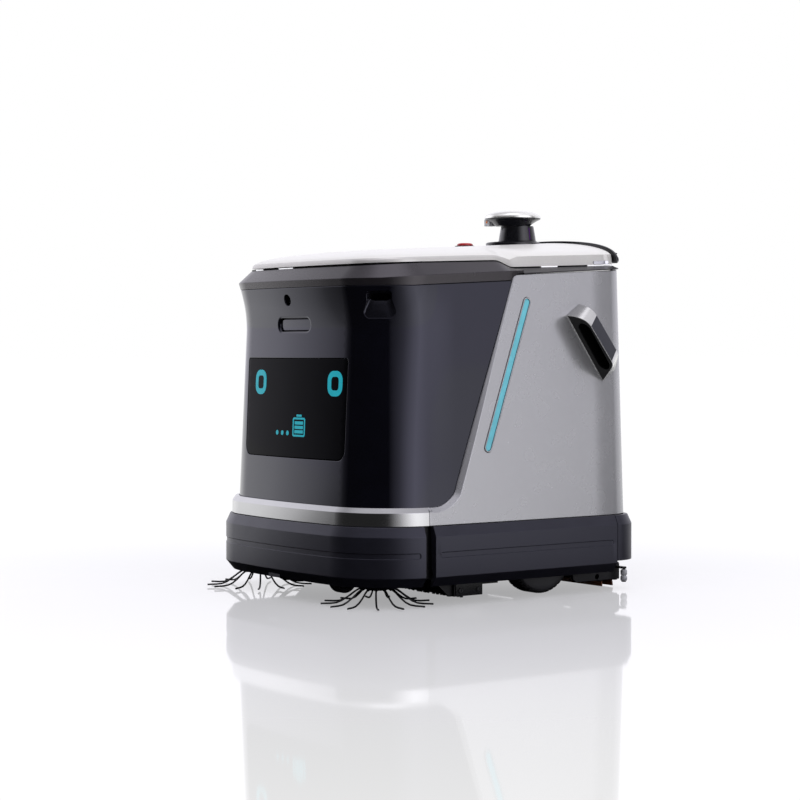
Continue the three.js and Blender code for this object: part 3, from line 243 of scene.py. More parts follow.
# ---------------------------------------------------------------- materials
def new_material(name):
    material = bpy.data.materials.new(name)
    material.use_nodes = True
    tree = material.node_tree
    return material, tree, tree.nodes["Principled BSDF"]


def feed(tree, node, sockets):
    """Set the inputs of a node: each one to a value, or to the output that feeds it."""
    for socket, value in sockets.items():
        if isinstance(value, bpy.types.NodeSocket):
            tree.links.new(value, node.inputs[socket])
        else:
            node.inputs[socket].default_value = value


def add(tree, kind, sockets=(), **settings):
    node = tree.nodes.new("ShaderNode" + kind)
    for setting, value in settings.items():
        setattr(node, setting, value)
    feed(tree, node, dict(sockets))
    return node


def calc(tree, operation, *values):
    return add(tree, "Math", dict(enumerate(values)), operation=operation).outputs[0]


def ramped(tree, value, low, high, start=0.0, end=1.0, kind="SMOOTHSTEP"):
    limits = {"Value": value, "From Min": low, "From Max": high, "To Min": start, "To Max": end}
    return add(tree, "MapRange", limits, interpolation_type=kind).outputs["Result"]


def blend(tree, factor, low, high):
    """Mix of two colours."""
    return add(tree, "Mix", {"Factor": factor, 6: low, 7: high}, data_type="RGBA").outputs[2]


def noise(tree, scale, detail=2.0, stretch=(1, 1, 1)):
    where = add(tree, "TexCoord").outputs["Object"]
    place = add(tree, "Mapping", {"Scale": stretch, "Vector": where}).outputs["Vector"]
    return add(tree, "TexNoise", {"Scale": scale, "Detail": detail, "Vector": place}).outputs["Fac"]


def ramp(tree, source, stops):
    node = add(tree, "ValToRGB", {"Fac": source})
    elements = node.color_ramp.elements
    while len(elements) < len(stops):
        elements.new(0.5)
    for element, (position, color) in zip(elements, stops):
        element.position = position
        element.color = (*color, 1.0)
    return node.outputs["Color"]


def shade(color, factor):
    return tuple(min(1.0, c * factor) for c in color)


def drifting(tree, source, color, mottle):
    """Colour that wanders by the share mottle to either side."""
    return ramp(tree, source, [(0.3, shade(color, 1 - mottle)), (0.7, shade(color, 1 + mottle))])


def finish(name, color, rough, metallic=0.0, mottle=0.08, mottle_scale=25.0, spread=0.06, grain_scale=1500.0,
           grain=0.05, grain_depth=0.0001, flake=0.0, stretch=(1, 1, 1), specular=0.5, tint=(1, 1, 1)):
    """A moulded or painted finish: slow colour drift, uneven roughness, surface grain and optional metal flake."""
    material, tree, shader = new_material(name)
    drift = noise(tree, mottle_scale, 3.0, stretch)
    fine = noise(tree, grain_scale, 1.0, stretch)
    base = drifting(tree, drift, color, mottle)
    if flake:
        sparkle = ramp(tree, fine, [(0.35, shade(color, 1 - flake)), (0.68, shade(color, 1 + flake * 1.6))])
        base = blend(tree, 0.5, base, sparkle)
    bump = add(tree, "Bump", {"Strength": grain, "Distance": grain_depth, "Height": fine})
    feed(tree, shader, {
        "Base Color": base, "Metallic": metallic, "Normal": bump.outputs["Normal"],
        "Roughness": ramped(tree, drift, 0.0, 1.0, max(0.01, rough - spread), rough + spread, "LINEAR"),
        "Specular IOR Level": specular, "Specular Tint": (*tint, 1),
    })
    return material


# Blue tint on the reflections of the dark plastics and glass: painted colour of the bluish studio light they reflect.
BLUE_SHINE = (0.80, 0.80, 1.0)
MAT = {
    "bumper": finish("bumper_textured", (0.011, 0.011, 0.016), 0.36, mottle=0.12, grain_scale=2200, grain=0.22,
                     tint=BLUE_SHINE),
    "silver": finish("silver_paint", (0.385, 0.385, 0.40), 0.27, metallic=0.60, mottle=0.03, grain_scale=2600,
                     grain=0.03, flake=0.10, spread=0.02),
    "gloss": finish("gloss_shell", (0.002, 0.002, 0.004), 0.06, mottle=0.2, grain=0.004, spread=0.02,
                    grain_scale=600, tint=BLUE_SHINE),
    "pocket": finish("gloss_pocket", (0.004, 0.004, 0.006), 0.22, mottle=0.2, grain=0.02, grain_scale=900,
                     tint=BLUE_SHINE),
    "visor": finish("visor_metallic", (0.040, 0.036, 0.041), 0.26, metallic=0.6, flake=0.35, grain_scale=1700,
                    grain=0.06, spread=0.04),
    "sill": finish("sill_polished", (0.40, 0.40, 0.405), 0.19, metallic=1.0, mottle=0.03, grain_scale=2600,
                   grain=0.02, spread=0.02),
    "band": finish("band_metallic", (0.022, 0.020, 0.024), 0.32, metallic=0.4, flake=0.3, grain_scale=1700,
                   grain=0.06, spread=0.04),
    "lid": finish("lid_satin_white", (0.82, 0.815, 0.77), 0.30, mottle=0.01, grain=0.03,
                  flake=0.05),
    "black": finish("frame_black", (0.008, 0.008, 0.010), 0.42, mottle=0.2, grain=0.25,
                    specular=0.4),
    "satin": finish("satin_black", (0.006, 0.006, 0.008), 0.2, mottle=0.2, grain=0.06),
    "inner": finish("handle_inner_black", (0.0025, 0.0025, 0.003), 0.3, mottle=0.2, grain=0.08,
                    specular=0.12),
    # Near-black with almost no shine, for slots, pockets and the seam gap: painted shade for the dark inside them.
    "void": finish("recess_shade_black", (0.001, 0.001, 0.0012), 0.8, mottle=0.3, grain=0.1,
                   specular=0.05),
    "glass": finish("display_glass", (0.0015, 0.0016, 0.002), 0.05, mottle=0.3, grain=0.0, spread=0.012,
                    specular=0.03, tint=BLUE_SHINE),
    "window": finish("sensor_window", (0.012, 0.012, 0.018), 0.1, mottle=0.2, grain=0.0, spread=0.02,
                     specular=0.6, tint=BLUE_SHINE),
    "rubber": finish("tyre_rubber", (0.011, 0.011, 0.012), 0.72, mottle=0.3, mottle_scale=60, grain_scale=900,
                     grain=0.5, grain_depth=0.0003),
    "disc": finish("wheel_cover", (0.016, 0.016, 0.020), 0.45, mottle=0.1, grain_scale=1200, grain=0.15),
    "bristle": finish("bristle_nylon", (0.004, 0.004, 0.005), 0.4, mottle=0.3, grain=0.1),
    "steel": finish("brushed_steel", (0.55, 0.55, 0.57), 0.3, metallic=1.0, mottle=0.06, grain=0.15,
                    stretch=(1, 1, 12), grain_scale=400),
    "chrome": finish("polished_trim", (0.62, 0.62, 0.66), 0.16, metallic=1.0, mottle=0.04, grain=0.02),
    # The lid's steep rear facet is the same white piece as its top; this darker grey is painted shade on that facet.
    "skirt": finish("lid_skirt_shaded_white", (0.60, 0.59, 0.565), 0.34, metallic=0.35, mottle=0.02,
                    grain=0.04, flake=0.12),
    "dome": finish("lidar_dome_pearl", (0.86, 0.86, 0.82), 0.2, metallic=0.7, mottle=0.03, grain=0.02),
    "tank": finish("tank_plastic", (0.50, 0.55, 0.60), 0.34, mottle=0.05, grain_scale=700, grain=0.12),
    "motor": finish("motor_grey", (0.14, 0.15, 0.16), 0.45, metallic=0.3, mottle=0.1, grain_scale=900, grain=0.2),
    "battery": finish("battery_case", (0.02, 0.055, 0.13), 0.4, mottle=0.1, grain_scale=900, grain=0.25),
    "blade": finish("amber_blade", (0.16, 0.05, 0.015), 0.45, mottle=0.12, grain_scale=700, grain=0.12),
    "roller": finish("roller_plastic", (0.62, 0.63, 0.66), 0.35, mottle=0.03, grain_scale=900, grain=0.1),
    "brass": finish("contact_brass", (0.62, 0.42, 0.16), 0.25, metallic=1.0, mottle=0.08, grain=0.1),
    "red": finish("emergency_red", (0.45, 0.012, 0.015), 0.3, mottle=0.06, grain_scale=900, grain=0.05),
    "orange": finish("marker_orange", (0.75, 0.20, 0.02), 0.45, mottle=0.05, grain=0.1),
    "grey": finish("light_grey_plastic", (0.50, 0.51, 0.53), 0.38, mottle=0.05, grain=0.1),
    "violet": finish("window_violet", (0.06, 0.008, 0.11), 0.2, mottle=0.2, grain=0.01),
    "handle": finish("handle_silver", (0.60, 0.60, 0.585), 0.2, metallic=1.0, mottle=0.03, grain=0.03,
                     grain_scale=2000, spread=0.03),
    "navy": finish("handle_face_navy", (0.008, 0.009, 0.015), 0.30, grain=0.05, specular=0.12, tint=BLUE_SHINE),
}


def glowing(name, color, strength, rough=0.3, mottle=0.05):
    """A glowing surface whose tone drifts slightly: a lit or printed one, or painted light."""
    material, tree, shader = new_material(name)
    tone = drifting(tree, noise(tree, 60.0), color, mottle)
    feed(tree, shader, {"Base Color": tone, "Emission Color": tone, "Emission Strength": strength,
                        "Roughness": rough, "Specular IOR Level": 0.12})
    return material


# Glowing white strips in the seam under the lid: painted light, the bright studio seen through the gap.
MAT["slit"] = glowing("seam_gap_painted_light", (0.9, 0.9, 0.92), 0.6)
MAT["strip"] = glowing("light_strip_cyan", (0.13, 0.42, 0.50), 0.36, mottle=0.08)
MAT["glyph"] = glowing("display_cyan", (0.008, 0.27, 0.33), 0.72)


# ---------------------------------------------------------------- mesh helpers
SIDES = (("right", False), ("left", True))


def piece(name, vertices, faces, material, body, slot=None, replaces=(), normals=None, sharp=32.0, weighted=False,
          bevel=0.0):
    """One mesh object in metres, riding on a CAD body. normals is a list of one per face corner, or None."""
    mesh = bpy.data.meshes.new(name)
    mesh.from_pydata([Vector(v) * MM for v in vertices], [], faces)
    mesh.materials.append(MAT[material])
    obj = bpy.data.objects.new(name, mesh)
    bpy.context.scene.collection.objects.link(obj)
    mesh.shade_smooth()
    if normals is not None:
        mesh.normals_split_custom_set([tuple(n) for n in normals])
    else:
        mesh.set_sharp_from_angle(angle=math.radians(sharp))
    if bevel:
        rounding = obj.modifiers.new("rounding", "BEVEL")
        rounding.width = bevel * MM
        rounding.segments = 2
        rounding.limit_method = "ANGLE"
        rounding.angle_limit = math.radians(34)
        rounding.harden_normals = True
    if weighted:
        weighting = obj.modifiers.new("weighting", "WEIGHTED_NORMAL")
        weighting.keep_sharp = True
    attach(obj, body)
    if replaces:
        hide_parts(*replaces)
    return obj


def mirror(vertices, faces):
    return [Vector((-v[0], v[1], v[2])) for v in vertices], [tuple(reversed(f)) for f in faces]


def both(name, build, material, bodies, slot=None, replaces="", **options):
    """The right-hand piece and its mirror image. bodies is one body, or a stem that ends in the side's name."""
    for side, flip in SIDES:
        v, f = mirror(*build) if flip else build
        body = bodies if bodies in frame["bodies"] else f"{bodies}_{side}"
        nodes = [f"{replaces}_{side}"] if replaces else []
        piece(f"{name}_{side}", v, f, material, body, slot, nodes, **options)


def fillet(points, radii, steps=3, closed=True):
    """Round the corners of a 2-D outline. radii is one number or one per point."""
    count = len(points)
    sizes = radii if isinstance(radii, (list, tuple)) else [radii] * count
    made = []
    for i in range(count):
        here = Vector(points[i])
        if not closed and i in (0, count - 1) or sizes[i] <= 0:
            made.append(tuple(here))
            continue
        before, after = Vector(points[i - 1]) - here, Vector(points[(i + 1) % count]) - here
        corner = before.angle(after)
        reach = min(sizes[i] / math.tan(corner / 2), before.length * 0.45, after.length * 0.45)
        radius = reach * math.tan(corner / 2)
        middle = here + (before.normalized() + after.normalized()).normalized() * (radius / math.sin(corner / 2))
        start, end = here + before.normalized() * reach - middle, here + after.normalized() * reach - middle
        sweep_angle = math.pi - corner
        turn = 1 if start.x * end.y - start.y * end.x > 0 else -1
        for k in range(steps + 1):
            a = turn * sweep_angle * k / steps
            made.append((middle.x + start.x * math.cos(a) - start.y * math.sin(a),
                         middle.y + start.x * math.sin(a) + start.y * math.cos(a)))
    return made


def tube_faces(rings, count, cap=True, loop=False):
    """Quads between rings of count points each; loop joins the last ring to the first."""
    faces = []
    for i in range(rings if loop else rings - 1):
        for j in range(count):
            k = (j + 1) % count
            n = (i + 1) % rings
            faces.append((i * count + j, i * count + k, n * count + k, n * count + j))
    if cap and not loop:
        faces.append(tuple(range(count - 1, -1, -1)))
        faces.append(tuple(range((rings - 1) * count, rings * count)))
    return faces


def circle(count, radius, centre=(0.0, 0.0), start=0.0):
    """Points round a circle, from the angle start."""
    angles = [2 * math.pi * k / count + start for k in range(count)]
    return [(centre[0] + radius * math.cos(a), centre[1] + radius * math.sin(a)) for a in angles]


def turned(x, y, part, count):
    """Copies of a part spaced evenly about the upright axis through (x, y)."""
    place = Matrix.Translation((x, y, 0))
    return [moved(part, place @ Matrix.Rotation(2 * math.pi * k / count, 4, "Z")) for k in range(count)]


def stepped(start, stop, step):
    """Values from start towards stop, short of it."""
    values = []
    while (stop - start) * step > 0:
        values.append(start)
        start += step
    return values


def turn_out(vertices, faces):
    """Make every face wind outwards, from the signed volume of the closed mesh."""
    volume = 0.0
    for f in faces:
        for i in range(1, len(f) - 1):
            a, b, c = (Vector(vertices[f[k]]) for k in (0, i, i + 1))
            volume += a.dot(b.cross(c))
    return (vertices, faces) if volume > 0 else (vertices, [tuple(reversed(f)) for f in faces])


def sweep(stations, section, loop=False):
    """Carry a closed profile of (inset, z) points along stations of the outline."""
    vertices = []
    for st in stations:
        profile = section(st)
        vertices += [st.at(o, z) for o, z in profile]
    return turn_out(vertices, tube_faces(len(stations), len(profile), loop=loop))


def lathe(profile, segments=48, centre=(0, 0, 0), axis="Z"):
    """Turn a (radius, height) profile about an axis through centre."""
    vertices, faces, rings = [], [], []
    for r, z in profile:
        if r < 1e-6:
            rings.append([len(vertices)])
            vertices.append((0.0, 0.0, z))
            continue
        rings.append(list(range(len(vertices), len(vertices) + segments)))
        for j in range(segments):
            a = 2 * math.pi * j / segments
            vertices.append((r * math.cos(a), r * math.sin(a), z))
    pairs = list(zip(rings, rings[1:]))
    if profile[0][0] > 1e-6 and profile[-1][0] > 1e-6:
        pairs.append((rings[-1], rings[0]))
    for low, high in pairs:
        for j in range(segments):
            k = (j + 1) % segments
            if len(low) == 1 and len(high) == 1:
                continue
            if len(low) == 1:
                faces.append((low[0], high[k], high[j]))
            elif len(high) == 1:
                faces.append((low[j], low[k], high[0]))
            else:
                faces.append((low[j], low[k], high[k], high[j]))
    place = {"Z": lambda v: v, "X": lambda v: (v[2], v[0], v[1]), "Y": lambda v: (v[0], v[2], -v[1])}[axis]
    vertices = [Vector(place(v)) + Vector(centre) for v in vertices]
    return turn_out(vertices, faces)


def tube(path, radius, sides=8):
    """A round tube along points; radius is one number or one per point."""
    points = [Vector(p) for p in path]
    radii = radius if isinstance(radius, (list, tuple)) else [radius] * len(points)
    tangents = []
    for i in range(len(points)):
        tangents.append((points[min(i + 1, len(points) - 1)] - points[max(i - 1, 0)]).normalized())
    up = Vector((0, 0, 1)) if abs(tangents[0].z) < 0.9 else Vector((1, 0, 0))
    side = tangents[0].cross(up).normalized()
    vertices = []
    for p, t, r in zip(points, tangents, radii):
        side = (side - t * side.dot(t)).normalized()
        other = t.cross(side)
        for j in range(sides):
            a = 2 * math.pi * j / sides
            vertices.append(p + side * (r * math.cos(a)) + other * (r * math.sin(a)))
    return turn_out(vertices, tube_faces(len(points), sides))


def block(x0, x1, y0, y1, z0, z1):
    vertices = [(x, y, z) for z in (z0, z1) for y in (y0, y1) for x in (x0, x1)]
    return turn_out(vertices, [(0, 1, 3, 2), (4, 6, 7, 5), (0, 4, 5, 1), (2, 3, 7, 6), (0, 2, 6, 4), (1, 5, 7, 3)])


def slab(outline, low, high, axis="Z"):
    """Extrude a 2-D outline between two heights along an axis."""
    place = {
        "Z": lambda u, v, h: (u, v, h),
        "Y": lambda u, v, h: (u, h, v),
        "X": lambda u, v, h: (h, u, v),
    }[axis]
    vertices = [Vector(place(u, v, h)) for h in (low, high) for u, v in outline]
    return turn_out(vertices, tube_faces(2, len(outline)))


def merged(*parts):
    vertices, faces = [], []
    for v, f in parts:
        base = len(vertices)
        vertices += list(v)
        faces += [tuple(i + base for i in face) for face in f]
    return vertices, faces


def moved(part, matrix):
    """A rigid move of a part."""
    vertices, faces = part
    return [matrix @ Vector(v) for v in vertices], faces


def stadium(half_length, radius, steps=10):
    points = []
    for side in (1, -1):
        for i in range(steps + 1):
            a = -math.pi / 2 + math.pi * i / steps
            points.append((side * (half_length - radius + radius * math.cos(a)), side * radius * math.sin(a)))
    return points


def box_outline(x0, x1, y0, y1, radius, steps=5):
    return fillet([(x0, y0), (x1, y0), (x1, y1), (x0, y1)], radius, steps)


def resample(loop, step):
    """Add points on long straight stretches of a closed outline, so that it can follow a curved face."""
    made = []
    for i, p in enumerate(loop):
        a, b = Vector(p), Vector(loop[(i + 1) % len(loop)])
        count = max(1, math.ceil((b - a).length / step))
        made += [tuple(a.lerp(b, k / count)) for k in range(count)]
    return made


def area(loop):
    return sum(a[0] * b[1] - b[0] * a[1] for a, b in zip(loop, loop[1:] + loop[:1])) / 2


def inside(point, loop):
    x, y = point
    found = False
    for (x0, y0), (x1, y1) in zip(loop, loop[1:] + loop[:1]):
        if (y0 > y) != (y1 > y) and x < (x1 - x0) * (y - y0) / (y1 - y0) + x0:
            found = not found
    return found


def near(point, loops, reach):
    px, py = point
    for loop in loops:
        for (x0, y0), (x1, y1) in zip(loop, loop[1:] + loop[:1]):
            dx, dy = x1 - x0, y1 - y0
            t = max(0.0, min(1.0, ((px - x0) * dx + (py - y0) * dy) / max(1e-9, dx * dx + dy * dy)))
            if (px - x0 - t * dx) ** 2 + (py - y0 - t * dy) ** 2 < reach * reach:
                return True
    return False


def inward(loop):
    """Direction into the material at each point of a loop whose material lies to its left, scaled for corners."""
    result = []
    count = len(loop)
    for i in range(count):
        a, b, c = Vector(loop[i - 1]), Vector(loop[i]), Vector(loop[(i + 1) % count])
        d0, d1 = (b - a).normalized(), (c - b).normalized()
        n0, n1 = Vector((-d0.y, d0.x)), Vector((-d1.y, d1.x))
        mean = (n0 + n1).normalized()
        result.append(mean / max(0.5, mean.dot(n0)))
    return result


ROUND_EDGE = [(1.0, 0.0), (0.62, 0.08), (0.29, 0.29), (0.08, 0.62), (0.0, 1.0)]
NORMAL_STEP = 0.6
GRID_ROW, GRID_MARGIN = 0.87, 0.45


def skin(name, face_at, outer, holes, depth, edge, material, body, slot=None, replaces=(), grid=12.0,
         edge_scale=None, drop_scale=None, rim=None, flip=False):
    """A shaped sheet on a curved face, with holes and a rounded rim.

    face_at(u, v) gives a point of the face; outer and holes are loops of (u, v). rim is a list of
    (width, drop) steps in units of edge; edge_scale(u, v, loop) scales it from place to place, and
    drop_scale(u, v, loop) scales its drop alone.
    """
    rim = rim or ROUND_EDGE
    steps = rim + [(0.0, None)]
    loops = [outer if area(outer) > 0 else outer[::-1]]
    loops += [h if area(h) < 0 else h[::-1] for h in holes]

    def normal_at(u, v):
        along = face_at(u + NORMAL_STEP, v) - face_at(u - NORMAL_STEP, v)
        up = face_at(u, v + NORMAL_STEP) - face_at(u, v - NORMAL_STEP)
        return along.cross(up).normalized()

    # The rim's rings, as (point, drop, direction into the material), for every loop.
    fronts, shapes = [], []
    for number, loop in enumerate(loops):
        into = inward(loop)
        sizes = [edge * (edge_scale(p[0], p[1], number) if edge_scale else 1.0) for p in loop]
        steep = [drop_scale(p[0], p[1], number) if drop_scale else 1.0 for p in loop]
        rings = []
        for width, drop in steps:
            ring = []
            for p, d, size, more in zip(loop, into, sizes, steep):
                uv = (p[0] + d.x * width * size, p[1] + d.y * width * size)
                ring.append((uv, depth if drop is None else drop * size * more, d))
            rings.append(ring)
        shapes.append((rings, steep))
        fronts.append([r[0] for r in rings[0]])
    # The flat of the face: a grid of points inside the innermost rings, triangulated.
    points, edges = [], []
    for front in fronts:
        start = len(points)
        points += [Vector(p) for p in front]
        edges += [(start + i, start + (i + 1) % len(front)) for i in range(len(front))]
    lows = [min(p[k] for p in loops[0]) for k in (0, 1)]
    highs = [max(p[k] for p in loops[0]) for k in (0, 1)]
    columns, rows = (int((highs[k] - lows[k]) / grid) + 2 for k in (0, 1))
    for i in range(columns):
        for j in range(rows):
            p = (lows[0] + (i + (0.5 if j % 2 else 0.0)) * grid, lows[1] + j * grid * GRID_ROW)
            clear = inside(p, fronts[0]) and not any(inside(p, f) for f in fronts[1:])
            if clear and not near(p, fronts, grid * GRID_MARGIN):
                points.append(Vector(p))
    done, _, triangles, *_ = geometry.delaunay_2d_cdt(points, edges, [], 0, 1e-6)
    kept = []
    for t in triangles:
        middle = (sum(done[i].x for i in t) / 3, sum(done[i].y for i in t) / 3)
        if inside(middle, fronts[0]) and not any(inside(middle, f) for f in fronts[1:]):
            kept.append(tuple(t))
    faces, corners = [], []

    def face(indices, normals):
        faces.append(tuple(indices))
        corners.extend(normals)

    tops = [normal_at(p.x, p.y) for p in done]
    vertices = [face_at(p.x, p.y) for p in done]
    back = len(vertices)
    vertices += [v - n * depth for v, n in zip(vertices, tops)]
    for t in kept:
        a, b, c = (done[i] for i in t)
        if (b - a).cross(c - a) < 0:
            t = (t[0], t[2], t[1])
        face(t, [tops[i] for i in t])
        face([back + i for i in reversed(t)], [-tops[i] for i in reversed(t)])
    # The rim itself, and the wall behind it.
    start = 0
    for loop, (rings, steep) in zip(loops, shapes):
        count = len(loop)
        previous = list(range(start, start + count))
        old = [tops[i] for i in previous]
        for k in range(1, len(steps)):
            ids, fresh = [], []
            (w0, d0), (w1, d1) = rim[k - 1], rim[min(len(rim) - 1, k + 1)]
            for (uv, drop, d), more in zip(rings[k], steep):
                n = normal_at(*uv)
                p = face_at(*uv)
                out = (face_at(uv[0] - d.x, uv[1] - d.y) - p).normalized()
                vertices.append(p - n * drop)
                ids.append(len(vertices) - 1)
                angle = math.pi / 2 if k >= len(rim) - 1 else math.atan2((d1 - d0) * more, w0 - w1)
                fresh.append((n * math.cos(angle) + out * math.sin(angle)).normalized())
            for i in range(count):
                j = (i + 1) % count
                face([previous[i], ids[i], ids[j], previous[j]], [old[i], fresh[i], fresh[j], old[j]])
            previous, old = ids, fresh
        behind = [back + start + i for i in range(count)]
        for i in range(count):
            j = (i + 1) % count
            face([previous[i], behind[i], behind[j], previous[j]],
                 [-tops[start + i], -tops[start + i], -tops[start + j], -tops[start + j]])
        start += count
    if flip:
        vertices = [Vector((-v.x, v.y, v.z)) for v in vertices]
        flipped, turned, at = [], [], 0
        for f in faces:
            flipped.append(tuple(reversed(f)))
            turned += [Vector((-n.x, n.y, n.z)) for n in reversed(corners[at:at + len(f)])]
            at += len(f)
        faces, corners = flipped, turned
    return piece(name, vertices, faces, material, body, slot, replaces, normals=corners)


# ---------------------------------------------------------------- bumpers
CHAMFER_TOP, GROOVE_EDGE = 7.0, 0.9


def bumper_section(low, groove_ends):
    """Profile of a bumper: chamfered top and bottom, rounded edges, and a shallow groove between two ends."""
    half = (GROOVE_HIGH - GROOVE_LOW) / 2
    middle = (GROOVE_LOW + GROOVE_HIGH) / 2
    bottom = [(10, low + 4), (16, BUMPER_BOTTOM + 4), (16, BUMPER_BOTTOM), (13, BUMPER_BOTTOM)]
    if low > BUMPER_FACE_LOW:
        bottom = [(8, low + 4), (8, low), (7, low), (2, low)]
    top = [(0, BUMPER_FACE_HIGH), (BUMPER_TOP_INSET, BUMPER_TOP), (BUMPER_TOP_INSET + CHAMFER_TOP, BUMPER_TOP),
           (BUMPER_TOP_INSET + CHAMFER_TOP + 1, BUMPER_TOP - 8), (13, BUMPER_FACE_LOW + 14)]
    radii = [2.5, 0.4, 0.4, 0.4, 0.4, 3, 1.6, 0, 0, 0] + [0, 0, 0, 0.8]

    def section(st):
        t = max(0.0, min(1.0, min(st.s - groove_ends[0], groove_ends[1] - st.s) / half))
        gap = max(0.02, half * math.sqrt(max(0.0, 1 - (1 - t) ** 2)))
        cut = GROOVE_DEPTH * min(1.0, 2.5 * t)
        outer = [(0, low), (0, middle - gap - GROOVE_EDGE), (cut, middle - gap), (cut, middle + gap),
                 (0, middle + gap + GROOVE_EDGE)]
        return fillet(outer + top + bottom, radii, 3)
    return section


GROOVE_MARGIN = 9.0
END_MARKS = (0.0, 0.4, 1.0, 2.0, 3.2, 4.0)


def bumper_bar(start, end):
    """A bumper between two places on the outline, with its groove a little shorter than itself."""
    groove = (start + GROOVE_MARGIN, end - GROOVE_MARGIN)
    marks = [groove[0] + m for m in END_MARKS] + [groove[1] - m for m in END_MARKS]
    return sweep(run(start, end, marks), bumper_section(BUMPER_FACE_LOW, groove))


def rear_ring(start):
    """Stations from start round the back of the machine to the same place on the left."""
    half = run(start, S_END)
    return half + [Station(-st.s) for st in reversed(half[:-1])]


front_end = side_s(FRONT_BUMPER_END)
piece("front_bumper_cover", *bumper_bar(-front_end, front_end), "bumper", "touch_bumper", "bumper_plastic",
      ["front_bumper"], weighted=True)
both("side_bumper_cover", bumper_bar(side_s(SIDE_BUMPER_START), side_s(SIDE_BUMPER_END)), "bumper", "base",
     "bumper_plastic", "side_bumper", weighted=True)

REAR_BUMPER_LOW, BUMPER_GAP = 54.0, 1.2
rear_section = bumper_section(REAR_BUMPER_LOW, (0, 0))
piece("rear_bumper_cover", *sweep(rear_ring(side_s(SIDE_BUMPER_END + BUMPER_GAP)), rear_section), "bumper", "base",
      "bumper_plastic", ["rear_bumper"], weighted=True)


# ---------------------------------------------------------------- silver sill
def sill_section(st):
    outline = [(0, SILL_LOW), (0.5, SILL_BEVEL), (6.5, SILL_TOP), (12, SILL_TOP), (12, SILL_TOP - 3),
               (3.5, SILL_BEVEL - 2), (3, SILL_LOW)]
    return fillet([(PANEL_INSET + x, z) for x, z in outline], [0.8, 2.2, 1.2, 0, 0, 0, 0], 3)


sill_end = side_s(SILL_SEAM_Y - 0.4)
piece("front_sill_trim", *sweep(run(-sill_end, sill_end), sill_section), "sill", "base", "silver_paint",
      ["front_sill"], weighted=True)


# ---------------------------------------------------------------- silver side panels
CORNER_EASE, EASE_START, EASE_END = 4.5, S_SIDE - 50, S_SIDE + 110


def corner_ease(s):
    """Extra inset that lets the side panel start turning a little ahead of the rear corner."""
    part = (abs(s) - EASE_START) / (EASE_END - EASE_START)
    if not 0 < part < 1:
        return 0.0
    return CORNER_EASE * math.sin(math.pi * part) ** 2


def panel_point(u, v):
    return Station(u).at(panel_inset(v) + corner_ease(u), v)


def panel_edge_top(s):
    if s <= S_SIDE:
        return panel_top(Station(s).y)
    return panel_top_line(min(Station(s).y, REAR_TOP_Y))


STRIP_LOW, STRIP_HIGH, STRIP_R = (-39.0, 255.0), (57.0, 517.0), 7.5
PANEL_DEPTH = 9.0
CORNER_AHEAD_Y, CORNER_Y_AT, CORNER_BEHIND_Y = -60.0, 27.6, PANEL_TOP[0] + 12
panel_s0, panel_s1 = side_s(SILL_SEAM_Y), S_REAR + REAR_X - PANEL_END_X


def panel_outline():
    low_edge = [(s, SILL_LOW) for s in (panel_s0, panel_s1)]
    top = [(s, panel_edge_top(s)) for s in stepped(panel_s1, side_s(CORNER_BEHIND_Y), -14)]
    upper = fillet([(side_s(CORNER_BEHIND_Y), panel_top_line(CORNER_BEHIND_Y)),
                    (side_s(CORNER_Y_AT), panel_top_line(CORNER_Y_AT)),
                    (side_s(CORNER_AHEAD_Y), panel_top(CORNER_AHEAD_Y))], 13, 8, closed=False)
    down = [*stepped(CORNER_AHEAD_Y - 2, SLANT_LOW[0], -10), *stepped(SLANT_LOW[0], SLANT_FOOT_Y, -3)]
    lower = [(side_s(y), panel_top(y)) for y in down]
    return low_edge + top + upper + lower + [(side_s(SLANT_FOOT_Y), SILL_TOP), (panel_s0, SILL_TOP)]


strip_ends = [Vector((side_s(y), z)) for y, z in (STRIP_LOW, STRIP_HIGH)]
strip_mid, strip_run = (strip_ends[0] + strip_ends[1]) / 2, strip_ends[1] - strip_ends[0]
strip_half, strip_turn = strip_run.length / 2, math.atan2(strip_run.y, strip_run.x)


def strip_loop(grow):
    c, s = math.cos(strip_turn), math.sin(strip_turn)
    return [(strip_mid.x + x * c - y * s, strip_mid.y + x * s + y * c)
            for x, y in stadium(strip_half + grow, STRIP_R + grow)]


# Rims of the panel in millimetres: the full bevel on the slant, shares of it on every other edge.
CHAMFER = [(9.0, 0.0), (8.4, 0.06), (7.7, 0.4), (1.5, 5.2), (0.8, 5.8), (0.25, 6.6), (0.0, 7.6)]
HOLE_EDGE, LOW_EDGE, TOP_EDGE, HIGH_BEVEL, HIGH_DROP = 0.13, 0.12, 0.16, 0.34, 0.8
BEVEL_END_Y, BEVEL_FADE_Y, BEVEL_FADE = 60.0, 18.0, 26.0
REAR_EDGE_Y = 400.0


def panel_edge(u, v, loop):
    """Wide bevel along the slanted front edge, narrow everywhere else."""
    if loop:
        return HOLE_EDGE
    y = Station(u).y if u <= S_SIDE else REAR_EDGE_Y
    if v <= SILL_LOW + 12 or u < panel_s0 + 0.5 and v < SILL_TOP - 1:
        return LOW_EDGE
    if y > BEVEL_END_Y:
        return TOP_EDGE
    slant = mix(1.0, HIGH_BEVEL, smooth((v - TAPER_LOW) / BEVEL_TAPER))
    return mix(slant, TOP_EDGE, smooth((y - BEVEL_FADE_Y) / BEVEL_FADE))


def panel_drop(u, v, loop):
    """The bevel turns away from the panel less and less towards the top of the slant."""
    if loop or u > side_s(SLANT_HIGH[0]):
        return 1.0
    return mix(1.0, HIGH_DROP, smooth((v - TAPER_LOW) / BEVEL_TAPER))


def proud(lift):
    """The panel's face, raised by lift and without the ease towards the rear corner."""
    return lambda u, v: Station(u).at(panel_inset(v) - lift, v)


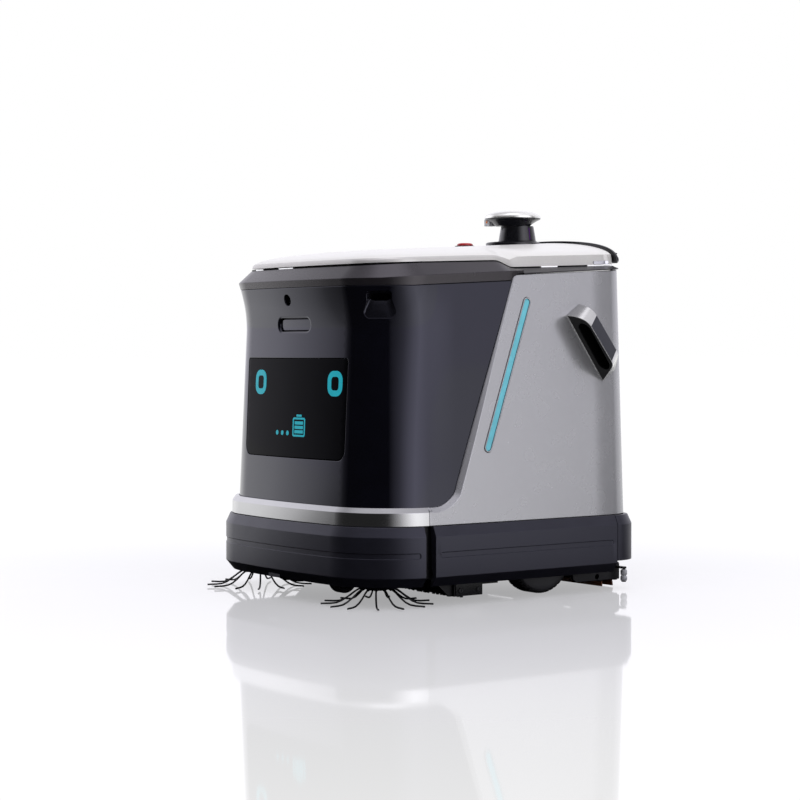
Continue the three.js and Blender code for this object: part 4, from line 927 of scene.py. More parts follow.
outline = resample(panel_outline(), 9.0)
bezel = [resample(strip_loop(grow), 8) for grow in (0.4, -1.5)]
for side, flip in SIDES:
    skin(f"side_panel_skin_{side}", panel_point, outline, [strip_loop(0.7)], PANEL_DEPTH, 1.0, "silver", "base",
         "silver_paint", [f"side_panel_{side}"], grid=9.0, edge_scale=panel_edge, drop_scale=panel_drop, rim=CHAMFER,
         flip=flip)
for side, flip in SIDES:
    skin(f"light_strip_lens_{side}", proud(0.5), resample(strip_loop(-1.7), 8), [], 3.0, 2.4, "strip", "base",
         "light_cyan", [f"light_strip_{side}"], grid=7.0, flip=flip)
    skin(f"light_strip_bezel_{side}", proud(1.5), bezel[0], [bezel[1]], 4.0, 0.8, "silver", "base", "silver_paint",
         grid=30.0, flip=flip)


# ---------------------------------------------------------------- front shell
def shell_sunk(drop):
    """The shell's face, sunk by drop."""
    def at(u, v):
        st = Station(u)
        return st.at(shell_inset(st, v) + drop, v)
    return at


DISPLAY_HALF, DISPLAY_LOW, DISPLAY_HIGH = 161.0, 242.0, 413.0
DEPTH_Z, DEPTH_HALF, DEPTH_R = 471.0, 54.0, 15.5
CAMERA_X, CAMERA_Z, CAMERA_R = -12.0, 513.5, 9.2
shell_end = side_s(SHELL_END_Y)


def display_outline(grow):
    low, high = DISPLAY_LOW - grow, DISPLAY_HIGH + grow
    half = DISPLAY_HALF + grow
    corners = [(-half + 3, low), (half - 3, low), (half, high), (-half, high)]
    return resample(fillet(corners, [20 + grow, 20 + grow, 6 + grow, 6 + grow], 8), 8)


POCKET_S = S_BOW + (math.pi / 4 - BOW_ANGLE) * FRONT_CORNER_R
POCKET_HALF, POCKET_FLARE, POCKET_FOOT = 27.7, 38.0, 30.0
POCKET_HIGH, POCKET_MID, POCKET_LOW_SIDE, POCKET_LOW = 525.0, 510.0, 490.0, 481.0
SLOT_HALF, SLOT_LOW, SLOT_HIGH, SLOT_END = 25.5, 509.5, 521.0, 27.0


def pocket_shape():
    half = [(POCKET_HALF, POCKET_HIGH), (POCKET_HALF, POCKET_MID), (POCKET_FLARE, POCKET_LOW_SIDE),
            (POCKET_FOOT, POCKET_LOW)]
    shape = half + [(-u, v) for u, v in reversed(half)]
    radii = [7, 6, 7, 12]
    return resample(fillet(shape, radii + radii[::-1], 6), 7)


def pocket_outline(sign):
    return [(sign * (POCKET_S + u), v) for u, v in pocket_shape()]


def slot_point(u, v):
    """The point of the slot's outline that belongs to a point of the mouth's outline."""
    half = POCKET_HALF if v > POCKET_MID else mix(POCKET_FLARE, POCKET_HALF, smooth((v - POCKET_LOW) / 30))
    wide = max(-1.0, min(1.0, u / half))
    high = max(0.0, min(1.0, (v - POCKET_LOW) / (POCKET_HIGH - POCKET_LOW))) ** 0.8
    bulge = 1 - 0.10 * abs(2 * high - 1) ** 4
    return SLOT_HALF * wide * bulge, mix(SLOT_LOW, SLOT_HIGH, high)


SHELL_TOP_GAP = 0.6


def shell_outline():
    low = [(s, SHELL_LOW) for s in (*stepped(-shell_end, shell_end, 8), shell_end)]
    high = [(s, visor_foot(Station(s).y) - SHELL_TOP_GAP) for s in (*stepped(shell_end, -shell_end, -8), -shell_end)]
    return resample(low + high, 12)


def depth_outline(grow):
    return [(x, DEPTH_Z + z) for x, z in stadium(DEPTH_HALF + grow, DEPTH_R + grow)]


GLASS_SINK, WINDOW_SINK = 0.35, 5.2
DEPTH_LOOP, DEPTH_CHAMFER = 2, 4.0
camera_hole = circle(32, CAMERA_R + 0.4, (CAMERA_X, CAMERA_Z))
openings = [display_outline(0.5), depth_outline(-5.4), camera_hole, pocket_outline(1), pocket_outline(-1)]
skin("front_shell_skin", shell_sunk(0.0), shell_outline(), openings, 9.0, 1.4, "gloss", "base", "shell_gloss",
     ["front_shell"], grid=11.0, edge_scale=lambda u, v, loop: DEPTH_CHAMFER if loop == DEPTH_LOOP else 1.0)
skin("display_glass", shell_sunk(GLASS_SINK), display_outline(-0.35), [], 4.0, 1.1, "glass", "base", "dark_glass",
     ["display_panel"], grid=11.0)
skin("depth_camera_window", shell_sunk(WINDOW_SINK), depth_outline(-5.9), [], 3.0, 1.0, "window", "base",
     "dark_glass", ["depth_camera"], grid=9.0)


def cup(stops):
    """Loft from the pocket's mouth (part 0) to its slot (part 1) and straight back, over (part, drop) stops."""
    rings = []
    for part, drop in stops:
        ring = []
        for u, v in pocket_shape():
            a, b = slot_point(u, v)
            uu, vv = mix(u * 1.01, a, part), mix(v, b, part)
            st = Station(POCKET_S + uu)
            ring.append(st.at(shell_inset(st, vv) + drop, vv))
        rings.append(ring)
    count = len(rings[0])
    vertices = [v for ring in rings for v in ring]
    return vertices, [tuple(reversed(f)) for f in tube_faces(len(rings), count, cap=False)]


scoop = cup([(0.0, 1.0), (0.0, 1.6), (0.25, 3.4), (0.5, 6.0), (0.75, 8.9), (0.94, 11.3), (1.0, 12.2)])
both("corner_sensor_scoop", scoop, "pocket", "base", "shell_gloss", "corner_sensor", sharp=60)
slot_tunnel = cup([(1.0, 12.1), (1.0, 13.0), (0.98, SLOT_END)])
last = len(slot_tunnel[0]) - len(pocket_shape())
slot_tunnel[1].append(tuple(range(last, len(slot_tunnel[0])))[::-1])
# The slot's tunnel is near-black: painted shade deep in the slot, which also stands for the dark sensor inside it.
both("corner_sensor_slot", slot_tunnel, "void", "base", "shell_gloss", sharp=60)

# Front camera: a barrel and the lens bead in it.
camera_at = (CAMERA_X, SHELL_FACE_Y + 3.5, CAMERA_Z)
barrel = [(0.2, 8), (0.2, 0.6), (-0.6, 0.2), (-2.0, 1.6), (-3.0, 5.0), (-3.2, 8)]
piece("front_camera_barrel", *lathe([(CAMERA_R + r, y) for r, y in barrel], 40, camera_at, "Y"), "gloss", "base",
      "dark_glass", ["front_camera"])
lens = [(0, 1.5), (1.6, 1.8), (3.2, 3.0), (4.6, 5.0), (4.6, 8), (0, 8)]
piece("front_camera_lens", *lathe(lens, 32, camera_at, "Y"), "glass", "base", "dark_glass")

# ---------------------------------------------------------------- display graphics
GLYPH_LIFT = 0.25
EYE_Z, EYE_HALF_W, EYE_HALF_H, EYE_R, EYE_STROKE = 371.0, 20.0, 21.5, 16.0, 10.0
BATTERY_X, BATTERY_Z, BATTERY_HALF_W, BATTERY_HALF_H, BATTERY_STROKE = 26.0, 295.0, 19.0, 16.5, 3.4
CAP_HALF, CAP_GAP, CAP_HEIGHT = 8.0, 1.4, 3.8
BAR_HALF, BAR_LOW, BAR_PITCH, BAR_HEIGHT = 13.0, -10.8, 7.6, 5.6
DOT_X, DOT_Z, DOT_PITCH, DOT_R, DOT_SIDES = -43.0, 284.0, 17.0, 4.2, 18


def frame_outline(cx, cz, half_w, half_h, radius, thick):
    """Outer and inner outline of a rounded frame."""
    return [box_outline(cx - half_w + t, cx + half_w - t, cz - half_h + t, cz + half_h - t, radius - t, 8)
            for t in (0.0, thick)]


def glyph(name, outer, *holes):
    skin(f"display_{name}", shell_sunk(GLASS_SINK - GLYPH_LIFT), resample(outer, 6), [resample(h, 6) for h in holes],
         0.5, 0.15, "glyph", "base", "light_cyan", grid=6.0)


for label, cx in (("right", 126.0), ("left", -108.0)):
    glyph(f"eye_{label}", *frame_outline(cx, EYE_Z, EYE_HALF_W, EYE_HALF_H, EYE_R, EYE_STROKE))
glyph("battery_case", *frame_outline(BATTERY_X, BATTERY_Z, BATTERY_HALF_W, BATTERY_HALF_H, 4, BATTERY_STROKE))
cap_z = BATTERY_Z + BATTERY_HALF_H + CAP_GAP
glyph("battery_cap", box_outline(BATTERY_X - CAP_HALF, BATTERY_X + CAP_HALF, cap_z, cap_z + CAP_HEIGHT, 1.2))
for i in range(3):
    z = BATTERY_Z + BAR_LOW + BAR_PITCH * i
    glyph(f"battery_bar_{i}", box_outline(BATTERY_X - BAR_HALF, BATTERY_X + BAR_HALF, z, z + BAR_HEIGHT, 1.2))
for i in range(3):
    glyph(f"dot_{i}", circle(DOT_SIDES, DOT_R, (DOT_X + DOT_PITCH * i, DOT_Z)))

# ---------------------------------------------------------------- visor and rear band
SEAM_MARKS = [sign * side_s(y) for y in (2, 7, 13, 18, 24, 29, 35, 40, 46) for sign in (-1, 1)]
CORNER_MARKS = [sign * side_s(y) for y in (25, 33, 41) for sign in (-1, 1)]


def visor_section(st):
    on_side = st.y > SILL_SEAM_Y and abs(st.s) > S_BOW
    panel = panel_top(st.y) + 2.2 if on_side else 0.0
    seam = seam_height(st.y)
    crease = max(visor_crease(st.y), panel + 1.5)
    foot = min(max(visor_foot(st.y), panel), crease - 1.2)
    top = max(seam, crease + 4)
    outline = [
        (VISOR_FOOT_INSET, foot), (VISOR_CREASE_INSET, crease), (VISOR_SEAM_INSET, top),
        (VISOR_SEAM_INSET + 3, top - 2.0), (VISOR_CREASE_INSET + 6, crease - 1), (VISOR_FOOT_INSET + 6, foot),
    ]
    return fillet(outline, [0.8, 1.6, 0.8, 0, 0, 0], 3)


visor_end = side_s(VISOR_END_Y)
piece("visor_ring", *sweep(run(-visor_end, visor_end, SEAM_MARKS + CORNER_MARKS), visor_section), "visor", "base",
      "visor_metallic", ["visor"], weighted=True)


def band_section(st):
    low = panel_top_line(min(st.y, REAR_TOP_Y)) + 1
    seam = seam_height(min(st.y, SEAM_LEVEL_Y))
    rim = rim_inset(st, VISOR_SEAM_INSET)
    outline = [(25, low), (24.2, low + 2.0), (rim, seam), (rim + 3, seam - 2.5), (rim + 1, low)]
    return fillet(outline, [0, 1.0, 0.8, 0, 0], 3)


piece("rear_band_trim", *sweep(rear_ring(side_s(VISOR_END_Y + 0.8)), band_section), "band", "base", "visor_metallic",
      ["rear_band"], weighted=True)

# ---------------------------------------------------------------- lid
SPINE_START_Y, CROWN_START_Y = -110.0, -230.0
LID_POWER_FRONT, LID_POWER_REAR, POWER_START_Y, POWER_RUN = 2.7, 2.05, -50.0, 250.0
SKIRT_HEIGHT, SKIRT_START_Y, SKIRT_RUN, SKIRT_FULL = 18.0, 8.0, 52.0, 12.0
LID_BEND, LID_SHEET, SHEET_START = 0.982, 3.0, 40.0
LID_RINGS = (1.0, 0.9965, 0.993, 0.9885, 0.983, 0.975, 0.965, 0.95, 0.93, 0.90, 0.86, 0.81, 0.74, 0.65, 0.53, 0.38,
             0.2, 0.0)
INNER_RINGS = (1.0, 0.97, 0.9, 0.7, 0.4, 0.0)


def crown(y):
    return LID_CROWN + LID_CROWN_SLOPE * y


def skirt_height(y):
    """Height of the plain facet round the rear half of the lid, nothing at the front."""
    return smooth((y - SKIRT_START_Y) / SKIRT_RUN) * SKIRT_HEIGHT


def lid_point(st, r, drop=0.0, shrink=0.0):
    """Point of the lid at the share r of the way from its spine to its rim, moved in by drop and shrink."""
    rim = st.at(rim_inset(st, LID_INSET) + shrink, 0)
    spine = min(max(rim.y, SPINE_START_Y), LID_REAR_Y - shrink)
    y = spine + (rim.y - spine) * r
    edge = seam_height(min(rim.y, SEAM_LEVEL_Y)) + LID_GAP
    top = crown(max(y, CROWN_START_Y))
    power = mix(LID_POWER_FRONT, LID_POWER_REAR, smooth((rim.y - POWER_START_Y) / POWER_RUN))
    rise = (1 - r**power) ** (1 / power)
    skirt = skirt_height(st.y)
    facet = min(1.0, skirt / SKIRT_FULL)
    if r >= LID_BEND:
        z = edge + skirt * (1 - r) / (1 - LID_BEND) + (1 - facet) * (top - edge) * rise
    else:
        start = (1 - LID_BEND**power) ** (1 / power)
        low = mix(edge + (top - edge) * start, edge + skirt, facet)
        z = mix(low, top, max(0.0, (rise - start) / (1 - start)))
    return Vector((rim.x * r, y, z - drop))


lid_run = run(-S_END, S_END - 2, SEAM_MARKS)
lid_rings = [(r, [lid_point(st, r) for st in lid_run]) for r in LID_RINGS]
inner = [[lid_point(st, r, drop=LID_SHEET * min(1.0, (1 - r) * SHEET_START), shrink=LID_SHEET) for st in lid_run]
         for r in INNER_RINGS]
high_rings = [ring for r, ring in reversed(lid_rings) if r <= LID_BEND]
low_rings = [ring for r, ring in reversed(lid_rings) if r > LID_BEND]
edge_ring = [lid_point(st, LID_BEND) for st in lid_run]
for name, rings, closed, material, nodes in (
    ("lid_crown", [*high_rings, edge_ring, *inner[1:]], False, "lid", ["lid_shell"]),
    # The skirt takes the darker skirt colour: painted shade on the lid's steep rear facet.
    ("lid_skirt", [edge_ring, *low_rings, *inner[:2]], True, "skirt", []),
):
    faces = tube_faces(len(rings), len(lid_run), cap=False, loop=closed)
    piece(name, *turn_out([v for ring in rings for v in ring], faces), material, "lid", "lid_paint", nodes, sharp=24)

# ---------------------------------------------------------------- dark seam under the lid: painted shade and painted glints of light in it, and clips
SLITS = ((-155, -125), (-66, -18), (613, 650), (720, 850))
CLIPS = (("right", 735, 800), ("left", -800, -735))


def seam_section(inset, low, high, thick=3.0):
    """A flat strip in the seam, between two heights above its lower edge."""
    def section(st):
        seam = seam_height(min(st.y, SEAM_LEVEL_Y))
        rim = rim_inset(st, inset)
        return [(rim, seam + low), (rim, seam + high), (rim + thick, seam + high), (rim + thick, seam + low)]
    return section


# A near-black strip across the gap under the lid: painted shade in the gap.
piece("lid_seam_shade_strip", *sweep(lid_run, seam_section(VISOR_SEAM_INSET + 0.5, -0.5, 1.9), loop=True), "void",
      "base", "frame_black", sharp=50)
# Short glowing slits in the seam: painted light where the studio shows through the gap under the lid.
for i, (s0, s1) in enumerate(SLITS):
    piece(f"lid_seam_slit_{i}", *sweep(run(s0, s1, SEAM_MARKS), seam_section(VISOR_SEAM_INSET - 0.1, 0.1, 1.9, 1.0)),
          "slit", "base", "lid_paint", sharp=50)
for side, s0, s1 in CLIPS:
    piece(f"hinge_clip_{side}", *sweep(run(s0, s1), seam_section(LID_INSET - 1.2, 2.6, 8.4, 2.0)), "chrome", "lid",
          "silver_paint", bevel=0.5)

# A small tab stands under the middle of the front bumper.
tab = box_outline(-34, 2, 35, 51, 2.5)
piece("front_bumper_tab", *slab(tab, FRONT_Y + 7, FRONT_Y + 11, "Y"), "bumper", "touch_bumper", "bumper_plastic",
      bevel=0.8)


# ---------------------------------------------------------------- black arch over the lid's rear edge
ARCH_HALF, ARCH_SPRING, ARCH_RISE, ARCH_DEPTH, ARCH_FOOT = 214.0, 583.5, 2.4, 9.0, 583.0
ARCH_SWELL, ARCH_THICK, ARCH_STEPS = 10.0, 8.0, 72


def arch_solid():
    """A band that runs from foot to foot over the lid's rear edge and thickens towards its feet."""
    section = fillet([(0.0, 0.0), (ARCH_THICK, 0.0), (ARCH_THICK, -ARCH_DEPTH), (0.0, -ARCH_DEPTH)],
                     [1.2, 3.0, 1.0, 1.0], 4)
    angles = [math.pi * i / ARCH_STEPS for i in range(ARCH_STEPS + 1)]
    top = crown(LID_REAR_Y) + 1
    spine = [Vector((ARCH_HALF * math.cos(a), mix(ARCH_SPRING, top, math.sin(a)) + ARCH_RISE)) for a in angles]
    vertices = []
    for i, (p, a) in enumerate(zip(spine, angles)):
        ahead = spine[min(i + 1, ARCH_STEPS)] - spine[max(i - 1, 0)]
        outward = Vector((ahead.y, -ahead.x)).normalized()
        swell = ARCH_SWELL * math.cos(a) ** 2
        for back, drop in section:
            q = p + outward * (swell + drop * (1 + swell / ARCH_DEPTH))
            vertices.append((q.x, LID_REAR_Y + 0.5 + back, max(ARCH_FOOT, q.y)))
    return turn_out(vertices, tube_faces(ARCH_STEPS + 1, len(section)))


piece("lid_arch_band", *arch_solid(), "satin", "lid", "frame_black", ["lid_hinge_arch"], sharp=40)


def ribbed_tube(radius, half, ribs):
    """Turned profile of a barrel with a ring groove between neighbouring ribs."""
    profile = [(0.0, -half)]
    for i in range(ribs):
        a, b = (-half + 2 * half * k / ribs for k in (i, i + 1))
        profile += [(radius - 0.9, a), (radius, a + 0.5), (radius, b - 1.0), (radius - 0.9, b - 0.5)]
    return profile + [(0.0, half)]


both("hinge_knuckle", lathe(ribbed_tube(HINGE_R + 0.3, 9, 5), 28, (HINGE_X, HINGE_Y, HINGE_Z), "X"), "satin", "lid",
     "frame_black", sharp=30)
fin_heights = [583.5 + 4 * k for k in range(5)]
fins = [block(196.5, 214.5, LID_REAR_Y + 7.5, LID_REAR_Y + 11.5, z, z + 2.4) for z in fin_heights]
arm_side = [(LID_REAR_Y + 1, 584), (HINGE_Y, 584), (HINGE_Y + 3, 590), (LID_REAR_Y + 9, 603), (LID_REAR_Y + 1, 604)]
both("hinge_arm", merged(slab(fillet(arm_side, 2, 3), 197, 213, "X"), *fins), "satin", "lid", "frame_black",
     bevel=0.5)

# ---------------------------------------------------------------- lidar turret
NECK_X, NECK_Y = 4.0, LIDAR_Y + 6.5
CAP_X, CAP_Y = 1.6, LIDAR_Y - 2.4
CONE_BOTTOM, CONE_TOP, CAP_TOP, CAP_R = 627.2, 657.0, 685.5, 52.0
DOME_FOOT, DOME_STEPS, DOME_POWER = 672.6, 14, 0.7

flange = [(0, 616), (LIDAR_BASE_R, 616), (LIDAR_BASE_R, 625.5), (LIDAR_BASE_R - 3, 627), (38, 627.2), (0, 627.2)]
piece("lidar_flange", *lathe(fillet(flange, [0, 0, 1, 1, 0.5, 0], 3), 64, (0, LIDAR_Y, 0)), "satin", "lid",
      "frame_black", ["lidar_base"])
cone = [(37, CONE_BOTTOM - 1), (37, CONE_BOTTOM + 1.5), (34.8, CONE_BOTTOM + 2.5), (33.0, 641), (30.8, 654),
        (30.0, CONE_TOP), (29.0, CONE_TOP), (29.6, 650), (31.0, 641), (33.0, CONE_BOTTOM - 1)]
piece("lidar_neck", *lathe(cone, 64, (NECK_X, NECK_Y, 0)), "satin", "lid", "dark_glass", ["lidar_window"], sharp=40)
rotor = [(0, 628), (21, 628), (22, 629), (22, 633), (21, 634), (17, 634), (17, 652), (16, 654), (0, 654)]
piece("lidar_rotor_drum", *lathe(rotor, 40, (0, LIDAR_Y, 0)), "motor", "lidar_head", "motor_grey", ["lidar_rotor"],
      bevel=0.4)
streak = []
for z, r in ((CONE_BOTTOM + 4, 34.6), (641, 33.15), (654, 30.95)):
    for da, proud_by in ((-0.045, 0.12), (0.045, 0.12), (0.045, -0.6), (-0.045, -0.6)):
        a = math.radians(4) + da
        streak.append(Vector((NECK_X + (r + proud_by) * math.cos(a), NECK_Y + (r + proud_by) * math.sin(a), z)))
piece("lidar_violet_window", *turn_out(streak, tube_faces(3, 4)), "violet", "lid", "dark_glass")
under = [(0, CONE_TOP - 0.5), (31.5, CONE_TOP), (33, 658.5), (38, 662.2), (45, 666.5), (50.5, 669.0),
         (CAP_R - 0.3, 670.3), (CAP_R - 0.3, 671.2), (0, 671.2)]
piece("lidar_cap_underside", *lathe(under, 72, (CAP_X, CAP_Y, 0)), "satin", "lid", "frame_black", sharp=28)
dome_turns = [math.pi / 2 * k / DOME_STEPS for k in range(1, DOME_STEPS)]
dome = [(0, 671.3), (CAP_R, 671.3), (CAP_R, 672.4)]
dome += [(CAP_R * math.cos(a) ** DOME_POWER, DOME_FOOT + (CAP_TOP - DOME_FOOT) * math.sin(a)) for a in dome_turns]
piece("lidar_cap_dome", *lathe(dome + [(0, CAP_TOP)], 72, (CAP_X, CAP_Y, 0)), "dome", "lid", "silver_paint",
      ["lidar_cap"], sharp=35)
piece("lidar_connector_box", *block(-43, -27, LIDAR_Y - 35, LIDAR_Y - 19, 658, 671), "grey", "lid", "lid_paint",
      bevel=1.0)
gem = slab([(-39.7, 665), (-37.1, 668), (-34.5, 665), (-37.1, 662)], 0, 0.8, "Y")
piece("lidar_connector_mark", *moved(gem, Matrix.Translation((2.0, LIDAR_Y - 35.3, 0.5))), "orange", "lid",
      "emergency_red")

# ---------------------------------------------------------------- emergency stop
collar = [(9.2, 606), (19, 606), (19, 616.6), (17.4, 617.8), (15.6, 617.8), (15.6, 611), (9.2, 611)]
piece("estop_collar_ring", *lathe(fillet(collar, [0, 0, 1.0, 0.4, 0.4, 0, 0], 3), 48, (0, ESTOP_Y, 0)), "black",
      "lid", "frame_black", ["estop_collar"])
button = [(0, 605), (8.4, 605), (8.4, 615.0), (13.6, 615.2), (14.2, 616.0), (14.2, 619.4), (13.6, 621.0),
          (12.0, 622.1), (9, 622.6), (0, 622.6)]
grips = turned(0, ESTOP_Y, block(-0.9, 0.9, 11.5, 14.4, 616, 620.2), 18)
piece("estop_mushroom", *merged(lathe(button, 48, (0, ESTOP_Y, 0)), *grips), "red", "stop_button", "emergency_red",
      ["estop_button"])


# ---------------------------------------------------------------- handles
LEAN = -HANDLE_DIR[1] * PANEL_LEAN
handle_frame = Matrix((
    (LEAN, 1, -PANEL_LEAN * 0.6), (HANDLE_DIR[0], 0, -HANDLE_DIR[1]), (HANDLE_DIR[1], 0, HANDLE_DIR[0])))
handle_origin = Vector((HALF_WIDTH - panel_inset(HANDLE_Z) + 0.5, HANDLE_Y, HANDLE_Z))


def on_handle(u, v, w):
    """u along the handle, v out from the panel, w from its front face backwards."""
    return handle_origin + handle_frame @ Vector((u, v * (1 - HANDLE_TAPER * w / HANDLE_WIDTH), w))


def bezier(a, b, c, d, steps=12):
    points = []
    for t in (k / steps for k in range(steps + 1)):
        shares = ((1 - t) ** 3, 3 * (1 - t) ** 2 * t, 3 * (1 - t) * t * t, t**3)
        points.append(tuple(sum(share * p[i] for share, p in zip(shares, (a, b, c, d))) for i in (0, 1)))
    return points


COVER_START, COVER_END = (24.0, HANDLE_OUT - 4), (98.0, HANDLE_OUT)
top_curve = bezier((0, 0), (2, 24), (8, HANDLE_OUT - 6), COVER_START)
low_curve = bezier(COVER_END, (110, HANDLE_OUT + 1), (116, 38), (HANDLE_LENGTH, 0))
handle_outline = top_curve + low_curve
GRIP_MID, GRIP_HALF, GRIP_R, GRIP_DEPTH = (67.0, 26.5), 49.0, 15.0, 25.0


def inset_loop(loop, amount):
    turned = loop if area(loop) > 0 else loop[::-1]
    return [(p[0] + d.x * amount, p[1] + d.y * amount) for p, d in zip(turned, inward(turned))]


def handle_ring(outer, inner, low, high):
    """A wall between two matching outlines, from depth low to high in the handle's frame."""
    vertices = [on_handle(u, v, w) for loop, w in ((outer, low), (outer, high), (inner, high), (inner, low))
                for u, v in loop]
    return turn_out(vertices, tube_faces(4, len(outer), cap=False, loop=True))


def handle_slab(loop, low, high):
    vertices = [on_handle(u, v, w) for w in (low, high) for u, v in loop]
    return turn_out(vertices, tube_faces(2, len(loop)))


rim_loop = handle_outline if area(handle_outline) > 0 else handle_outline[::-1]
wall = handle_ring(rim_loop, inset_loop(rim_loop, 1.1), 0.0, HANDLE_WIDTH)
back = handle_slab(inset_loop(rim_loop, 0.8), HANDLE_WIDTH - 2.5, HANDLE_WIDTH - 0.3)
both("handle_shell", merged(wall, back), "handle", "base", "silver_paint", "handle", sharp=30)
cover = [(COVER_START[0], COVER_START[1] - 0.8), (COVER_START[0], COVER_START[1] + 0.35),
         (COVER_END[0], COVER_END[1] + 0.35), (COVER_END[0], COVER_END[1] - 0.8)]
both("handle_cover", handle_slab(cover, 0.9, HANDLE_WIDTH - 0.1), "navy", "base", "dark_glass", bevel=0.25)
grip_slot = [(GRIP_MID[0] + u, GRIP_MID[1] + v) for u, v in stadium(GRIP_HALF, GRIP_R, 12)]
for side, flip in SIDES:
    skin(f"handle_front_{side}", lambda u, v: on_handle(u, v, 0.5), inset_loop(rim_loop, 1.1), [grip_slot], 2.5, 0.7,
         "inner", "base", "frame_black", grid=8.0, flip=flip)
slot_walls = handle_ring(inset_loop(grip_slot, -1.2), inset_loop(grip_slot, 0.0), 2.2, GRIP_DEPTH)
slot_floor = handle_slab(inset_loop(grip_slot, -1.2), GRIP_DEPTH, GRIP_DEPTH + 1.5)
# The grip pocket is near-black: painted shade inside the pocket.
both("handle_grip_pocket", merged(slot_walls, slot_floor), "void", "base", "frame_black", sharp=40)

# ---------------------------------------------------------------- side brushes
STRANDS, STRAND_R, STRAND_SPREAD, FILAMENTS = 13, 0.961, 0.8, 3
STRAND_PATH = ((17, 33), (27, 30.5), (38, 24), (49, 15.5), (59, 9.0), (68, 5.6), (78, 4.4), (88, 4.1), (95, 4.0))
SOCKET = ((14, 34.5), (23, 31.4), (30, 28.5))


def side_brush():
    """A hub with bent bundles of bristles, each from a straight socket."""
    hub = fillet([(0, 26), (17, 26), (26, 31), (28, 34), (28, 40), (0, 40)], [0, 1.5, 2, 1, 1, 0], 3)
    parts = [lathe(hub, 40, (SWEEPER_X, SWEEPER_Y, 0))]
    for i in range(STRANDS):
        base = 2 * math.pi * i / STRANDS - 0.2
        bend = 0.05 + 0.04 * math.sin(2.7 * i)
        axis = [(SWEEPER_X + r * math.cos(base), SWEEPER_Y + r * math.sin(base), z) for r, z in SOCKET]
        parts.append(tube(axis, 3.0, 10))
        for k in range(FILAMENTS):
            path = []
            for j, (r, z) in enumerate(STRAND_PATH):
                a = base + bend * (j / 8) ** 1.5
                twist = 2 * math.pi * k / FILAMENTS + 0.5 * j
                side, up = STRAND_SPREAD * math.cos(twist), STRAND_SPREAD * math.sin(twist)
                path.append((SWEEPER_X + r * math.cos(a) - side * math.sin(a),
                             SWEEPER_Y + r * math.sin(a) + side * math.cos(a), z + up))
            parts.append(tube(path, STRAND_R, 6))
    return merged(*parts)


both("side_brush_strands", side_brush(), "bristle", "sweeper", "bristle", "side_brush", sharp=40)
gear_case = [(0, 41), (10, 41), (10, 54), (30, 54), (32, 56), (32, 66), (31, 67), (31, 92), (29, 95), (18, 100),
             (0, 100)]
screw = [(0, 95), (2.6, 95), (2.6, 98), (0, 98)]
screws = [lathe(screw, 12, (x, y, 0)) for x, y in circle(4, 24, (SWEEPER_X, SWEEPER_Y), 0.5)]
both("side_brush_gearmotor", merged(lathe(gear_case, 36, (SWEEPER_X, SWEEPER_Y, 0)), *screws), "motor", "base",
     "motor_grey", "side_brush_motor", bevel=0.4)


# ---------------------------------------------------------------- drive wheels
TREAD_TURNS = (0.0, 0.62, 0.68, 0.94)


def treaded(radius, half, grooves, depth):
    """Tyre body about X with cross grooves cut into its running face."""
    vertices = []
    for i in range(grooves * len(TREAD_TURNS)):
        groove, part = divmod(i, len(TREAD_TURNS))
        r = radius - (depth if part >= 2 else 0.0)
        profile = [(50, -half), (60, -half), (63, -half + 0.6), (r - 0.4, -half + 4), (r, -half + 6), (r, half - 6),
                   (r - 0.4, half - 4), (63, half - 0.6), (60, half), (50, half)]
        a = 2 * math.pi * (groove + TREAD_TURNS[part]) / grooves
        vertices += [Vector((WHEEL_X + x, WHEEL_Y + q * math.cos(a), WHEEL_R + q * math.sin(a))) for q, x in profile]
    return turn_out(vertices, tube_faces(grooves * len(TREAD_TURNS), len(profile), loop=True))


wheel_at = (WHEEL_X, WHEEL_Y, WHEEL_R)
both("drive_tyre_tread", treaded(WHEEL_R, WHEEL_W / 2, 40, 1.8), "rubber", "drive_wheel", "tyre_rubber",
     "drive_tyre", sharp=30)
cover_face = fillet([(0, 17), (10, 17.4), (10, 19.4), (14, 19.4), (52, 20.6), (60.6, 20.8), (61.4, 19.8),
                     (61.4, 18.2), (0, 14)], [0, 0, 0.6, 0.8, 4, 0.6, 0.3, 0, 0], 3)
rim_body = [(0, -21), (15, -21), (15, -11), (30, -13), (49.6, -14), (49.6, 14), (30, 12), (0, 12)]
bolt = [(0, 19), (3, 19), (3, 21.4), (2.4, 22), (0, 22)]
bolts = [lathe(bolt, 6, (WHEEL_X, y, z), "X") for y, z in circle(5, 34, (WHEEL_Y, WHEEL_R), 0.3)]
both("drive_wheel_cover", merged(lathe(cover_face, 64, wheel_at, "X"), lathe(rim_body, 40, wheel_at, "X"), *bolts),
     "disc", "drive_wheel", "frame_black", "drive_hub", sharp=35)
motor_case = [(0, -58), (27, -58), (30, -55), (30, -20), (28.6, -19), (28.6, -16), (30, -15), (30, 20), (28.6, 21),
              (28.6, 24), (30, 25), (30, 48), (28, 50), (0, 50)]
gear_nose = [(0, -12), (20, -12), (20, 10), (18.5, 12), (0, 12)]
terminal = block(60, 96, WHEEL_Y - 10, WHEEL_Y + 10, WHEEL_R + 26, WHEEL_R + 40)
both("drive_gearmotor", merged(lathe(motor_case, 40, (100, WHEEL_Y, WHEEL_R), "X"),
                               lathe(gear_nose, 32, (160, WHEEL_Y, WHEEL_R), "X"), terminal),
     "motor", "base", "motor_grey", "drive_motor", bevel=0.5)

